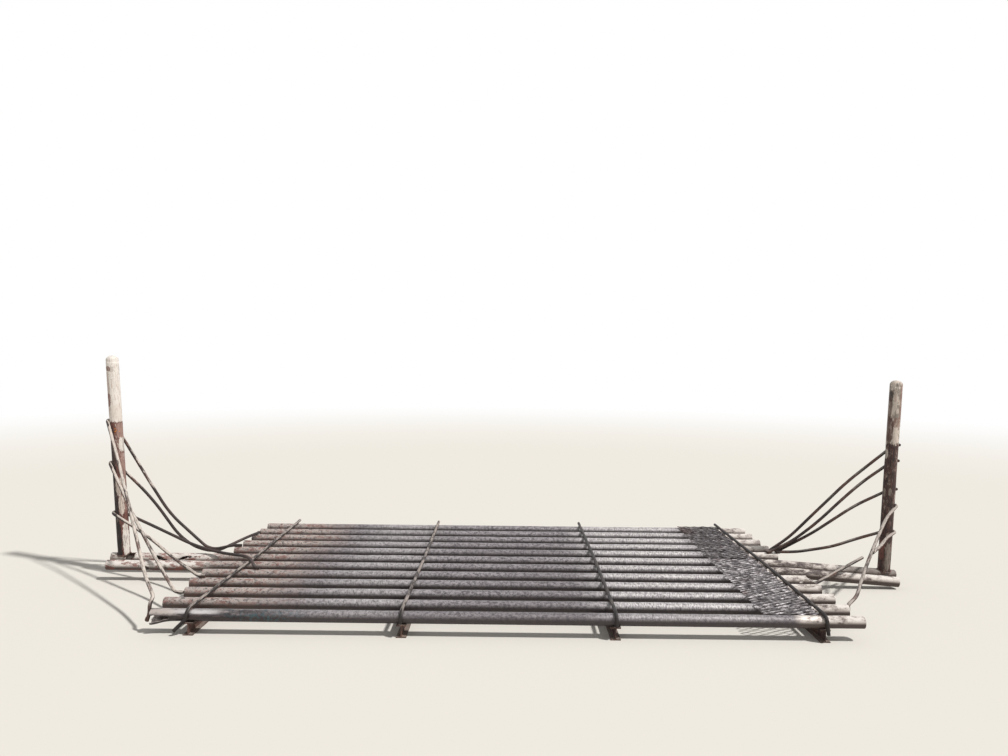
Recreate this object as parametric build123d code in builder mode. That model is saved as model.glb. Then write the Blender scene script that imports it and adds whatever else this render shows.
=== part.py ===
"""Cattle grid of steel tube, with leaning pipe posts and bent wing rods.

Millimetres. +X is right and +Y is along the road, away from the viewer. +Z is up from the floor
that the bearers rest on. The origin lies on that floor, midway between the outer sides of the two
posts' tops and at half of the grid's depth.
"""

import os
from math import acos, atan2, cos, hypot, radians, sin, sqrt, tan

from build123d import *

os.makedirs("parts", exist_ok=True)

LEFT = -1
RIGHT = 1

# Rails, numbered from the front
rail_count = 12
rail_length = 4267.0
rail_pitch = 208.0
rail_diameter = 73.0
rail_wall = 5.5

# Rail ends that stop short or run on: how far inside the others they lie
rail_1_left_inset = 28.0
rail_2_left_inset = 12.0
rail_3_left_inset = 55.0
rail_5_right_tongue = 50.0

# The two long rails run on past both sides, and their right ends droop
rail_6_left_run = 790.0
rail_6_right_run = 735.0
rail_7_left_run = 865.0
rail_7_right_run = 815.0
droop_start = 110.0
droop_angle = 4.3
droop_bend_radius = 1500.0
post_rail = 7

# Split in the front of rail 1's left end
split_length = 118.0
split_height = 24.0
split_drop = 8.0

# Torn opening in the front of rail 7's left run: distance outside the rails' ends and depth below the top
tear_start = 194.0
tear_middle = 330.0
tear_end = 512.0
tear_edge = 14.0
tear_lip = 24.0
tear_depth = 48.0

# Rust holes in the front of the long rails' left runs: one beside the left post, one low in rail 6
foot_hole_start = 676.0
foot_hole_length = 68.0
foot_hole_depth = 50.0
low_hole_start = 446.0
low_hole_length = 67.0
low_hole_top = 8.0

# Rusted right end of rail 5
rust_slant = 70.0
rust_rise = 30.0
rust_hole_diameter = 26.0
rust_hole_back = 40.0

# Bearers: rolled beams under the rails, one below each tie rod
bearer_height = 76.2
bearer_flange_width = 59.2
bearer_flange = 6.6
bearer_web = 4.4
bearer_root_radius = 6.0

# Tie rods across the tops of the rails: how far each lies inside the rails' left or right ends
rod_diameter = 22.2
tie_rod_1_inset = 259.5
tie_rod_2_inset = 1524.5
tie_rod_3_inset = 1472.5
tie_rod_4_inset = 237.5
tie_rod_back = 55.0
tie_rod_mid_radius = 6000.0
foot_bend_radius = 25.0

# Walkway strip of expanded metal, resting on the rails from the first to the last
mesh_width = 342.9
mesh_gap = 1.0
mesh_thickness = 4.0
mesh_long_way = 76.2
mesh_short_way = 44.0
mesh_strand = 7.0
mesh_bond = 12.0
mesh_joint = 3.0
mesh_joint_rail = 7

# Posts: place outside the rails' ends, height of the dome's top above the rails, and lean
post_diameter = 88.9
post_wall = 6.5
post_saddle = 16.0
left_post_outside = 770.0
left_post_height = 1500.0
left_post_lean = 3.3
right_post_outside = 738.0
right_post_height = 1368.0
right_post_lean = 2.5
cap_skirt = 14.0
cap_rise = 34.0
cap_wall = 6.0

# Wing rods: round bars draped round the outer side of a post, at heights above the rails
left_upper_wrap = 1010.0
left_middle_wrap = 690.0
left_lower_wrap = 310.0
right_back_1_wrap = 880.0
right_back_2_wrap = 760.0
right_back_3_wrap = 545.0
right_back_4_wrap = 225.0
right_front_1_wrap = 425.0
right_front_2_wrap = 225.0
wrap_share = 0.95
bend_share = 0.45

# Where a wing rod touches a rail off its top: on its shoulder, as a share of the rail spacing, and at its
# cut end, as shares of its radius
shoulder_share = 0.07
butt_share = 0.65
wall_share = 0.7

# Bar that has come loose from the right post and still stands in rail 5's eaten end
loose_bar_seat = 55.0
loose_bar_reach = 495.0
loose_bar_height = 67.0
loose_bar_rail = 6.2
loose_bar_bend = 120.0

# Clearance where round bars and tubes are seated on each other
seat_gap = 0.3

# Left and right insets and runs of the rails, and the posts' places
rail_insets = {1: (rail_1_left_inset, 0), 2: (rail_2_left_inset, 0), 3: (rail_3_left_inset, 0),
               5: (0, -rail_5_right_tongue)}
long_rails = {6: (rail_6_left_run, rail_6_right_run), 7: (rail_7_left_run, rail_7_right_run)}
post_places = {
    LEFT: (left_post_outside, left_post_height, left_post_lean),
    RIGHT: (right_post_outside, right_post_height, right_post_lean),
}

# Worked-out places
rod_radius = rod_diameter / 2
rail_radius = rail_diameter / 2
post_radius = post_diameter / 2
wrap_radius = post_radius + rod_radius + seat_gap
rail_axis_z = bearer_height + rail_radius
rail_top_z = bearer_height + rail_diameter
rod_rest_z = rail_top_z + rod_radius + seat_gap
hook_offset = rail_radius + rod_radius + seat_gap

front_reach = hook_offset + rod_radius
back_reach = rail_radius + tie_rod_back
grid_depth = front_reach + (rail_count - 1) * rail_pitch + back_reach
rail_1_y = front_reach - grid_depth / 2


def post_reach(side):
    """Distance from the rails' middle to the outermost point of a post, where its dome starts."""
    outside, height, lean = post_places[side]
    rise = height - cap_rise * cos(radians(lean))
    return rail_length / 2 + outside + rise * tan(radians(lean)) + post_radius * cos(radians(lean))


rail_mid_x = (post_reach(LEFT) - post_reach(RIGHT)) / 2
rail_left_x = rail_mid_x - rail_length / 2
rail_right_x = rail_mid_x + rail_length / 2
droop_x = rail_right_x - droop_start

# Tie rods: place across the road, sideways bow, and the feet's bends as sidestep and drop below the tops
tie_rods = {
    1: (rail_left_x + tie_rod_1_inset, 16.0, [(-10.0, 50.0), (-80.0, 119.0)]),
    2: (rail_left_x + tie_rod_2_inset, 6.0, [(-4.0, 62.0)]),
    3: (rail_right_x - tie_rod_3_inset, 8.0, [(5.0, 66.0)]),
    4: (rail_right_x - tie_rod_4_inset, 16.0, [(12.0, 100.0)]),
}


def rail_y(number):
    """Place of a rail along the road, counted from the front."""
    return rail_1_y + (number - 1) * rail_pitch


def rail_z(x):
    """Height of a long rail's axis, which falls away past the start of its droop."""
    return rail_axis_z - max(0.0, x - droop_x) * tan(radians(droop_angle))


def post_x(side, height):
    """Place of a post's axis across the road at a height above the tops of the rails."""
    outside, _, lean = post_places[side]
    return rail_mid_x + side * (rail_length / 2 + outside + height * tan(radians(lean)))


# Plain rails
for number in range(1, rail_count + 1):
    if number in long_rails:
        continue
    name = f"rail_{number:02d}"
    left_inset, right_inset = rail_insets.get(number, (0, 0))
    end_x = rail_right_x - right_inset
    with BuildPart() as rail:
        with BuildSketch(Plane.YZ.offset(rail_left_x + left_inset)):
            with Locations((rail_y(number), rail_axis_z)):
                Circle(rail_radius)
                Circle(rail_radius - rail_wall, mode=Mode.SUBTRACT)
        extrude(amount=rail_length - left_inset - right_inset)
        if number == 1:
            # The split runs in from the end, below the middle of the front wall
            with BuildSketch(Plane.XZ.offset(-rail_y(number))):
                with Locations((rail_left_x + left_inset, rail_axis_z - split_drop)):
                    SlotOverall(2 * split_length, split_height)
            extrude(amount=rail_diameter, mode=Mode.SUBTRACT)
        if number == 5:
            # The upper half is eaten away in a slant, and a hole goes through the front of what is left
            with BuildSketch(Plane.XZ.offset(-rail_y(number))):
                Polygon(
                    (end_x - rust_slant, rail_axis_z + rail_radius),
                    (end_x - rust_slant / 2, rail_axis_z + rail_radius - rust_rise),
                    (end_x + rail_wall, rail_axis_z - rail_radius / 3),
                    (end_x + rail_wall, rail_axis_z + rail_diameter),
                    (end_x - rust_slant, rail_axis_z + rail_diameter),
                    align=None,
                )
            extrude(amount=rail_diameter, both=True, mode=Mode.SUBTRACT)
            with BuildSketch(Plane.XZ.offset(-rail_y(number))):
                with Locations((end_x - rust_slant - rust_hole_back, rail_axis_z)):
                    Ellipse(rust_hole_diameter / 2, rust_hole_diameter / 3)
            extrude(amount=rail_diameter, mode=Mode.SUBTRACT)
    rail.part.label = name
    export_step(rail.part, f"parts/{name}.step")


# Long rails, swept along a run that bends down past the walkway
for number, (left_run, right_run) in long_rails.items():
    name = f"rail_{number:02d}"
    long_left_x = rail_left_x - left_run
    long_right_x = rail_right_x + right_run
    y = rail_y(number)
    with BuildPart() as rail:
        with BuildLine() as run:
            FilletPolyline(
                (long_left_x, y, rail_axis_z),
                (droop_x, y, rail_axis_z),
                (long_right_x, y, rail_z(long_right_x)),
                radius=droop_bend_radius,
            )
        with BuildSketch(Plane.YZ.offset(long_left_x)):
            with Locations((y, rail_axis_z)):
                Circle(rail_radius)
                Circle(rail_radius - rail_wall, mode=Mode.SUBTRACT)
        sweep(path=run.line)
        if number == post_rail:
            # The tear leaves a lip at the top, and the hole beside the post goes up through the top
            hole_right_x = rail_left_x - foot_hole_start
            with BuildSketch(Plane.XZ.offset(-y)):
                Polygon(
                    (rail_left_x - tear_start, rail_top_z - tear_edge),
                    (rail_left_x - tear_middle, rail_top_z - tear_lip),
                    (rail_left_x - (tear_middle + tear_end) / 2, rail_top_z - tear_lip),
                    (rail_left_x - tear_end, rail_top_z - tear_edge),
                    (rail_left_x - (tear_middle + tear_end) / 2, rail_top_z - tear_depth),
                    (rail_left_x - tear_middle, rail_top_z - tear_depth),
                    align=None,
                )
                Polygon(
                    (hole_right_x, rail_top_z + rail_wall),
                    (hole_right_x, rail_top_z - foot_hole_depth / 2),
                    (hole_right_x - foot_hole_length / 3, rail_top_z - foot_hole_depth),
                    (hole_right_x - foot_hole_length, rail_top_z - foot_hole_depth),
                    (hole_right_x - foot_hole_length, rail_top_z + rail_wall),
                    align=None,
                )
            extrude(amount=rail_diameter, mode=Mode.SUBTRACT)
        else:
            hole_right_x = rail_left_x - low_hole_start
            with BuildSketch(Plane.XZ.offset(-y)):
                Polygon(
                    (hole_right_x, rail_axis_z - rail_radius),
                    (hole_right_x - low_hole_length / 3, rail_axis_z - rail_radius / 4),
                    (hole_right_x - low_hole_length, rail_axis_z + low_hole_top),
                    (hole_right_x - low_hole_length, rail_axis_z - rail_radius),
                    align=None,
                )
            extrude(amount=rail_diameter, mode=Mode.SUBTRACT)
    rail.part.label = name
    export_step(rail.part, f"parts/{name}.step")


# Bearers
bearer_length = (rail_count - 1) * rail_pitch + rail_diameter - 2 * seat_gap
for number, (rod_x, _, _) in tie_rods.items():
    name = f"bearer_{number}"
    with BuildPart() as bearer:
        with BuildSketch(Plane.XZ.offset(-rail_y((rail_count + 1) / 2))) as section:
            with Locations((rod_x, bearer_height / 2)):
                Rectangle(bearer_flange_width, bearer_height)
                web_side = (bearer_flange_width + bearer_web) / 4
                with Locations((-web_side, 0), (web_side, 0)):
                    Rectangle(
                        (bearer_flange_width - bearer_web) / 2,
                        bearer_height - 2 * bearer_flange,
                        mode=Mode.SUBTRACT,
                    )
            roots = section.vertices().filter_by(
                lambda corner: abs(corner.X - rod_x) < bearer_web
            )
            fillet(roots, bearer_root_radius)
        extrude(amount=bearer_length / 2, both=True)
    bearer.part.label = name
    export_step(bearer.part, f"parts/{name}.step")


# Tie rods, which bend down round the front rail and end in a foot
for number, (x, bow, feet) in tie_rods.items():
    name = f"tie_rod_{number}"
    front_y = rail_y(1) - hook_offset
    back_y = rail_y(rail_count) + back_reach
    with BuildPart() as rod:
        with BuildLine() as run:
            FilletPolyline(
                (x, back_y, rod_rest_z),
                (x + bow, (front_y + back_y) / 2, rod_rest_z),
                (x, front_y, rod_rest_z),
                *[(x + step, front_y, rail_top_z - drop) for step, drop in feet],
                radius=[tie_rod_mid_radius, hook_offset, *[foot_bend_radius] * (len(feet) - 1)],
            )
        with BuildSketch(Plane(origin=run.line @ 0, z_dir=run.line % 0)):
            Circle(rod_radius)
        sweep(path=run.line)
    rod.part.label = name
    export_step(rod.part, f"parts/{name}.step")


# Walkway: expanded metal in two sheets that meet over a rail
mesh_right_x = tie_rods[4][0] - rod_radius - mesh_gap
mesh_middle_x = mesh_right_x - mesh_width / 2
mesh_joint_y = rail_y(mesh_joint_rail)
mesh_ends = {
    "walkway_front": (rail_y(1), mesh_joint_y - mesh_joint / 2),
    "walkway_back": (mesh_joint_y + mesh_joint / 2, rail_y(rail_count) + rail_radius),
}
hole_long = mesh_long_way - mesh_bond
hole_short = mesh_short_way - mesh_strand
for name, (front_y, back_y) in mesh_ends.items():
    middle_y = (front_y + back_y) / 2
    columns = round(mesh_width / mesh_long_way)
    rows = int((back_y - front_y - mesh_strand) / mesh_short_way)
    with BuildPart() as sheet:
        with BuildSketch(Plane.XY.offset(rail_top_z)):
            with Locations((mesh_middle_x, middle_y)):
                Rectangle(mesh_width, back_y - front_y)
                with GridLocations(mesh_long_way, mesh_short_way, columns, rows):
                    Polygon(
                        (-hole_long / 2, 0), (0, -hole_short / 2), (hole_long / 2, 0), (0, hole_short / 2),
                        mode=Mode.SUBTRACT,
                    )
                with GridLocations(mesh_long_way, mesh_short_way, columns + 1, rows - 1):
                    Polygon(
                        (-hole_long / 2, 0), (0, -hole_short / 2), (hole_long / 2, 0), (0, hole_short / 2),
                        mode=Mode.SUBTRACT,
                    )
        extrude(amount=mesh_thickness)
    sheet.part.label = name
    export_step(sheet.part, f"parts/{name}.step")


def dome_arc(radius, rise):
    """Arc from the top of the cap's skirt to the crown, level where it meets the axis."""
    arc_radius = (radius**2 + rise**2) / (2 * rise)
    return RadiusArc((radius, cap_skirt), (0, cap_skirt + rise), -arc_radius)


# Posts, coped over their rail, each with a domed cap
for side, word in ((LEFT, "left"), (RIGHT, "right")):
    outside, height, lean = post_places[side]
    name = f"{word}_post"
    y = rail_y(post_rail)
    base_x = rail_mid_x + side * (rail_length / 2 + outside)
    base_z = rail_z(base_x) + rail_radius - post_saddle
    tube_length = (rail_top_z + height - base_z) / cos(radians(lean)) - cap_skirt - cap_rise
    foot = Plane(
        origin=(post_x(side, base_z - rail_top_z), y, base_z),
        x_dir=(cos(radians(lean)), 0, -side * sin(radians(lean))),
        z_dir=(side * sin(radians(lean)), 0, cos(radians(lean))),
    )
    droop = droop_angle if side == RIGHT else 0
    with BuildPart() as post:
        with BuildSketch(foot):
            Circle(post_radius)
            Circle(post_radius - post_wall, mode=Mode.SUBTRACT)
        extrude(amount=tube_length)
        with Locations((base_x, y, rail_z(base_x))):
            Cylinder(rail_radius, 4 * post_diameter, rotation=(0, 90 + droop, 0), mode=Mode.SUBTRACT)
    post.part.label = name
    export_step(post.part, f"parts/{name}.step")

    name = f"{word}_post_cap"
    top = foot.offset(tube_length)
    with BuildPart() as cap:
        with BuildSketch(Plane(origin=top.origin, x_dir=top.x_dir, z_dir=-top.y_dir)):
            with BuildLine():
                outer = dome_arc(post_radius, cap_rise)
                inner = dome_arc(post_radius - cap_wall, cap_rise - cap_wall)
                Polyline(outer @ 0, (post_radius, 0), (post_radius - cap_wall, 0), inner @ 0)
                Line(outer @ 1, inner @ 1)
            make_face()
        revolve(axis=Axis(top.origin, top.z_dir))
    cap.part.label = name
    export_step(cap.part, f"parts/{name}.step")


# Wing rods. Each starts at a height on the outer side of its post and bends round it to the front or the
# back. The places after that are given in two lists. In the first one they hang free: a share of the
# post's distance outside the rails' ends, the rail, counted from the front, and a share of the start
# height. In the second one they are seated: the distance inwards from the rails' ends, the rail, and the
# height above the tops of the rails.
rest = rod_radius + seat_gap
over_rod = rest + rod_diameter + seat_gap
shoulder_rest = sqrt((rail_radius + rest) ** 2 - (shoulder_share * rail_pitch) ** 2) - rail_radius
beside_rail_1 = rail_1_left_inset - rest
butt_rail_3 = rail_3_left_inset - 2 * seat_gap
butt_side = 3 - (rail_radius - rail_wall) / rail_pitch
butt_height = -butt_share * rail_radius
wall_side = 2 + wall_share * rail_radius / rail_pitch
wing_rods = {
    "left_wing_upper_front": (
        LEFT, left_upper_wrap, [(0.89, 5.8, 0.738), (0.499, 3.9, 0.388), (0.169, 2.2, 0.117)],
        [(beside_rail_1 + 3, 1.2, 60), (beside_rail_1, 1, 22), (beside_rail_1, 1, -28),
         (0, 1, -rail_diameter - 5)],
    ),
    "left_wing_upper_back": (
        LEFT, left_upper_wrap, [(0.79, 7.4, 0.515), (0.619, 7.6, 0.273), (0.394, 7.8, 0.092)],
        [(-187, 7.9, -24), (-15, 8, rest), (55, 8, rest)],
    ),
    "left_wing_middle_front": (
        LEFT, left_middle_wrap, [(0.875, 6.1, 0.69), (0.574, 5, 0.394), (0.195, 3.65, 0.07)],
        [(0, butt_side, butt_height), (butt_rail_3, butt_side, butt_height)],
    ),
    "left_wing_middle_back": (
        LEFT, left_middle_wrap, [(0.787, 7.45, 0.593), (0.555, 7.75, 0.158), (0.405, 7.9, 0)],
        [(-163, 8.1, -50), (25, 9.1, rest + 14), (45, 10.2, rest - 3)],
    ),
    "left_wing_lower_front": (
        LEFT, left_lower_wrap, [(0.651, 6.1, 0.568), (0.247, 5.1, 0.155)],
        [(55, 4, rest), (100, 4, rest)],
    ),
    "left_wing_lower_back": (
        LEFT, left_lower_wrap, [(0.774, 7.15, 0.694), (0.305, 7, 0.194)],
        [(-21, 6.8, rest + 6), (272, 5.85, over_rod + 9), (368, 5, rest), (400, 5, rest)],
    ),
    "right_wing_back_1": (
        RIGHT, right_back_1_wrap,
        [(0.894, 7.2, 0.855), (0.649, 7.4, 0.663), (0.369, 7.65, 0.394), (0.115, 7.92, 0.142)],
        [(60, 8 + shoulder_share, shoulder_rest), (88, 8 + shoulder_share, shoulder_rest)],
    ),
    "right_wing_back_2": (
        RIGHT, right_back_2_wrap,
        [(0.776, 7.2, 0.774), (0.577, 7.4, 0.567), (0.37, 7.6, 0.338), (0.136, 7.83, 0.129)],
        [(62, 8 - shoulder_share, shoulder_rest), (88, 8 - shoulder_share, shoulder_rest)],
    ),
    "right_wing_back_3": (
        RIGHT, right_back_3_wrap,
        [(0.717, 7.25, 0.75), (0.511, 7.5, 0.514), (0.336, 7.72, 0.312)],
        [(-10, 8 + shoulder_share, shoulder_rest), (14, 8 + shoulder_share, shoulder_rest)],
    ),
    "right_wing_back_4": (
        RIGHT, right_back_4_wrap,
        [(0.722, 7.2, 0.68), (0.516, 7.45, 0.356), (0.184, 7.8, 0.08)],
        [(-15, 8 - shoulder_share, shoulder_rest), (12, 8 - shoulder_share, shoulder_rest)],
    ),
    "right_wing_front_1": (
        RIGHT, right_front_1_wrap,
        [(0.867, 6, 0.87), (0.583, 4.67, 0.588), (0.339, 3.5, 0.339), (0.122, 2.4, 0.056)],
        [(-rest, wall_side, -8), (-rest, wall_side, -50)],
    ),
    "right_wing_front_2": (
        RIGHT, right_front_2_wrap, [(0.908, 6.2, 0.956), (0.732, 5.4, 0.853), (0.52, 4.37, 0.887)], [],
    ),
}


def rod_place(side, inwards, rail_number, height):
    """Point near the rails' ends on one side of the grid."""
    return Vector(
        rail_mid_x + side * (rail_length / 2 - inwards), rail_y(rail_number), rail_top_z + height
    )


def wrap_corner(side, start, target):
    """Corner of the bend that carries a rod round the outer side of its post, towards a target."""
    axis_x = start.X - side * wrap_radius
    across = side * (target.X - axis_x)
    along = target.Y - start.Y
    turn = atan2(abs(along), across) - acos(wrap_radius / hypot(across, along))
    return start + Vector(0, wrap_radius * tan(turn / 2) * (1 if along > 0 else -1), 0)


def bend_radii(points):
    """Radius of each bend: as large as the shorter of its two runs allows."""
    radii = []
    for before, corner, after in zip(points, points[1:], points[2:]):
        turn = radians((corner - before).get_angle(after - corner))
        share = wrap_share if corner is points[1] else bend_share
        shorter = min((corner - before).length, (after - corner).length)
        radii.append(share * shorter / tan(turn / 2))
    return radii


for name, (side, start_height, free, seated) in wing_rods.items():
    outside = post_places[side][0]
    start = Vector(
        post_x(side, start_height) + side * wrap_radius, rail_y(post_rail), rail_top_z + start_height
    )
    points = [rod_place(side, -out * outside, number, up * start_height) for out, number, up in free]
    points += [rod_place(side, *place) for place in seated]
    points = [start, wrap_corner(side, start, points[0]), *points]
    with BuildPart() as rod:
        with BuildLine() as run:
            FilletPolyline(*points, radius=bend_radii(points))
        with BuildSketch(Plane(origin=run.line @ 0, z_dir=run.line % 0)):
            Circle(rod_radius)
        sweep(path=run.line)
    rod.part.label = name
    export_step(rod.part, f"parts/{name}.step")


# Loose bar, which lies in the lower wall of rail 5's eaten end and sticks up past the long rails
name = "right_wing_front_3"
bore_rest = -rail_diameter + rail_wall + rest
with BuildPart() as rod:
    with BuildLine() as run:
        FilletPolyline(
            rod_place(RIGHT, -rail_5_right_tongue + loose_bar_seat, 5, bore_rest),
            rod_place(RIGHT, -rail_5_right_tongue, 5, bore_rest),
            rod_place(RIGHT, -loose_bar_reach, loose_bar_rail, loose_bar_height),
            radius=loose_bar_bend,
        )
    with BuildSketch(Plane(origin=run.line @ 0, z_dir=run.line % 0)):
        Circle(rod_radius)
    sweep(path=run.line)
rod.part.label = name
export_step(rod.part, f"parts/{name}.step")
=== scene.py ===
"""Looks of the cattle grid: worn pipe rails, round bars, an expanded-metal walkway and two leaning posts.

Metres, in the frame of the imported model. +X is right, +Y is along the road, away from the viewer, and
+Z is up from the floor that the bearers rest on.
"""

import logging
import math
from bisect import bisect_left
from collections.abc import Callable
from dataclasses import dataclass, field
from enum import Enum
from fnmatch import fnmatch
from functools import cache, partial
from itertools import accumulate, pairwise, product

import bmesh
import bpy
from bmesh.types import BMesh
from bpy.types import Material, Mesh, Node, NodeSocket as Socket, Object, World
from mathutils import Matrix, Vector, noise


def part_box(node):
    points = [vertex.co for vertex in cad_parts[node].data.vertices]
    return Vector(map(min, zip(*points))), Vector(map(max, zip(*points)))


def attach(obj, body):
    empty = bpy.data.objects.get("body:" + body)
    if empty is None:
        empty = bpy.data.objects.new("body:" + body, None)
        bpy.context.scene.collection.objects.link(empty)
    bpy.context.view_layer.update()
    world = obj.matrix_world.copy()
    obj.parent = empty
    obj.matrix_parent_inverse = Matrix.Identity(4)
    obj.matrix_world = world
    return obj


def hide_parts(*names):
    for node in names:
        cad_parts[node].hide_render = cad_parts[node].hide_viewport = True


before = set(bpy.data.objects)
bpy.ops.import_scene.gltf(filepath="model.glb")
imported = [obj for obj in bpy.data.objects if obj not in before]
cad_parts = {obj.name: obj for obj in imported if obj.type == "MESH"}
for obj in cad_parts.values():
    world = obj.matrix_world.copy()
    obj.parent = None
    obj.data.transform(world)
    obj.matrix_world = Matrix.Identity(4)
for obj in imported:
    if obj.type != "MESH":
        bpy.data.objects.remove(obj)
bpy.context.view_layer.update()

log = logging.getLogger("cattle_grid")

MM = 0.001
UP = Vector((0, 0, 1))
GRAIN = "grain"

Pair = tuple[float, float]
Colour = tuple[float, float, float, float]
Source = Socket | float | Colour
Shape = Callable[[float, float], float]
Place = tuple[float, float, float]
Dent = tuple[float, float, float, float]


class Side(Enum):
    """The two sides of the road."""

    LEFT = -1
    RIGHT = 1


class RailEnd(Enum):
    """How far the cut at a rail's end wanders, in metres."""

    SAWN = 0.0008
    TORCHED = 0.003
    ROTTEN = 0.007


def tone(red: int, green: int, blue: int) -> Colour:
    """Turns a screen colour into the linear one that a shader takes.

    Args:
        red: Red from 0 to 255.
        green: Green from 0 to 255.
        blue: Blue from 0 to 255.

    Returns:
        The linear colour, opaque.
    """
    shares = [value / 255 for value in (red, green, blue)]
    linear = [s / 12.92 if s <= 0.04045 else ((s + 0.055) / 1.055) ** 2.4 for s in shares]
    return (*linear, 1.0)


def wander(place: float, seed: float, length: float) -> float:
    """Smooth random value from about -1 to 1 at a place on the line that a seed picks."""
    return noise.noise(Vector((place / length, seed * 7.31, seed * 3.17)))


@dataclass(frozen=True)
class Station:
    """One place along a bar or tube.

    Attributes:
        centre: Point on the axis.
        side: Direction of angle 0 round the axis.
        up: Direction of a quarter turn.
        run: Distance from the start, along the axis.
    """

    centre: Vector
    side: Vector
    up: Vector
    run: float


class Route:
    """Line that is walked in small steps."""

    def __init__(self, line: list[Vector], up: Vector = UP) -> None:
        """Measures the line.

        Args:
            line: Its points, close together where it bends.
            up: Direction that a quarter turn faces at the start.
        """
        self.line = line
        self.up = up
        self.lengths = list(accumulate(((b - a).length for a, b in pairwise(line)), initial=0.0))
        self.length = self.lengths[-1]

    @classmethod
    def rounded(cls, points: list[Vector], radii: list[float], count: int = 14) -> "Route":
        """Makes a line with a round bend at each corner.

        Args:
            points: The corners, and the line's two ends.
            radii: Radius of each bend.
            count: Number of short runs in a bend.

        Returns:
            The line.
        """
        line = [points[0]]
        for before, corner, after, radius in zip(points, points[1:], points[2:], radii):
            inward, outward = (corner - before).normalized(), (after - corner).normalized()
            turn = inward.angle(outward)
            tangent = corner - inward * radius * math.tan(turn / 2)
            middle = corner + (outward - inward).normalized() * radius / math.cos(turn / 2)
            for index in range(count + 1):
                angle = turn * index / count
                arm = (tangent - middle) * math.cos(angle)
                line.append(middle + arm + inward * radius * math.sin(angle))
        return cls([*line, points[-1]])

    def crossing(self, y: float) -> Vector:
        """Finds where the line crosses a place along the road.

        Args:
            y: The place.

        Returns:
            The first such point, or the line's last one.
        """
        for a, b in pairwise(self.line):
            if (a.y - y) * (b.y - y) <= 0 and a.y != b.y:
                return a.lerp(b, (y - a.y) / (b.y - a.y))
        return self.line[-1]

    def at(self, run: float) -> tuple[Vector, Vector]:
        """Finds a place on the line.

        Args:
            run: Distance from the start, which may lie a little past either end.

        Returns:
            The point, and the direction of the line there.
        """
        index = min(max(bisect_left(self.lengths, run) - 1, 0), len(self.line) - 2)
        a, b = self.line[index], self.line[index + 1]
        direction = (b - a).normalized()
        return a + direction * (run - self.lengths[index]), direction

    def stations(self, runs: list[float]) -> list[Station]:
        """Stations whose sides turn with the line and don't twist round it.

        Args:
            runs: Distances from the start, in order.

        Returns:
            One station for each distance.
        """
        made = []
        up = self.up
        for run in runs:
            centre, direction = self.at(run)
            side = direction.cross(up).normalized()
            up = side.cross(direction).normalized()
            made.append(Station(centre, side, up, run))
        return made


def steps(start: float, end: float, step: float, close: tuple[Pair, ...] = ()) -> list[float]:
    """Distances along a line, closer together in chosen stretches.

    Args:
        start: First distance.
        end: Last distance.
        step: Longest step.
        close: Stretches with fine steps, each as its first and last distance.

    Returns:
        The distances, in order.
    """
    fine = 3.5 * MM
    made = [start]
    while made[-1] < end:
        place = made[-1]
        inside = any(low - fine <= place < high for low, high in close)
        ahead = [low for low, _ in close if low > place + fine]
        following = place + (fine if inside else step)
        if not inside and ahead:
            following = min(following, min(ahead))
        made.append(min(following, end))
    return made


class Skin:
    """Surface of a tube or bar, which stops where the metal is gone."""

    def __init__(
        self, stations: list[Station], sides: int, radius: Shape, kept: Shape | None = None
    ) -> None:
        """Works out the skin's points.

        Args:
            stations: Places along the axis.
            sides: Number of points round the axis.
            radius: Outer radius at a run and an angle.
            kept: Positive where there is metal, at a run and an angle.
        """
        self.rows = len(stations)
        self.sides = sides
        self.places: dict[tuple[int, int], Vector] = {}
        self.grains: dict[tuple[int, int], Vector] = {}
        self.levels: dict[tuple[int, int], float] = {}
        for row, station in enumerate(stations):
            for column in range(sides):
                angle = math.tau * column / sides
                reach = radius(station.run, angle)
                across, above = reach * math.cos(angle), reach * math.sin(angle)
                key = (row, column)
                self.places[key] = station.centre + station.side * across + station.up * above
                self.grains[key] = Vector((station.run, across, above))
                self.levels[key] = kept(station.run, angle) if kept else 1.0

    def add_to(self, bm: BMesh, caps: bool = False) -> None:
        """Adds the faces to a mesh, cut along the edge of the metal.

        Args:
            bm: Mesh that is being built.
            caps: Whether flat faces close the two ends.
        """
        layer = bm.verts.layers.float_vector.get(GRAIN) or bm.verts.layers.float_vector.new(GRAIN)
        made: dict[tuple, bmesh.types.BMVert] = {}

        def vertex(a: tuple[int, int], b: tuple[int, int]) -> bmesh.types.BMVert:
            """Makes a vertex once: at a grid point, or where the metal ends between two of them.

            Args:
                a: One grid point.
                b: The other, or the same one again.

            Returns:
                The vertex.
            """
            key = (min(a, b), max(a, b))
            if key not in made:
                a, b = key
                share = self.levels[a] / (self.levels[a] - self.levels[b]) if a != b else 0.0
                made[key] = bm.verts.new(self.places[a].lerp(self.places[b], share))
                made[key][layer] = self.grains[a].lerp(self.grains[b], share)
            return made[key]

        for row in range(self.rows - 1):
            for column in range(self.sides):
                beside = (column + 1) % self.sides
                ring = [(row, column), (row + 1, column), (row + 1, beside), (row, beside)]
                corners = []
                for a, b in zip(ring, ring[1:] + ring[:1]):
                    if self.levels[a] > 0:
                        corners.append(vertex(a, a))
                    if (self.levels[a] > 0) != (self.levels[b] > 0):
                        corners.append(vertex(a, b))
                if len(corners) > 2:
                    bm.faces.new(corners)
        if caps:
            round_it = range(self.sides)
            for row, columns in ((0, round_it), (self.rows - 1, reversed(round_it))):
                bm.faces.new([vertex((row, column), (row, column)) for column in columns])


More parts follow.
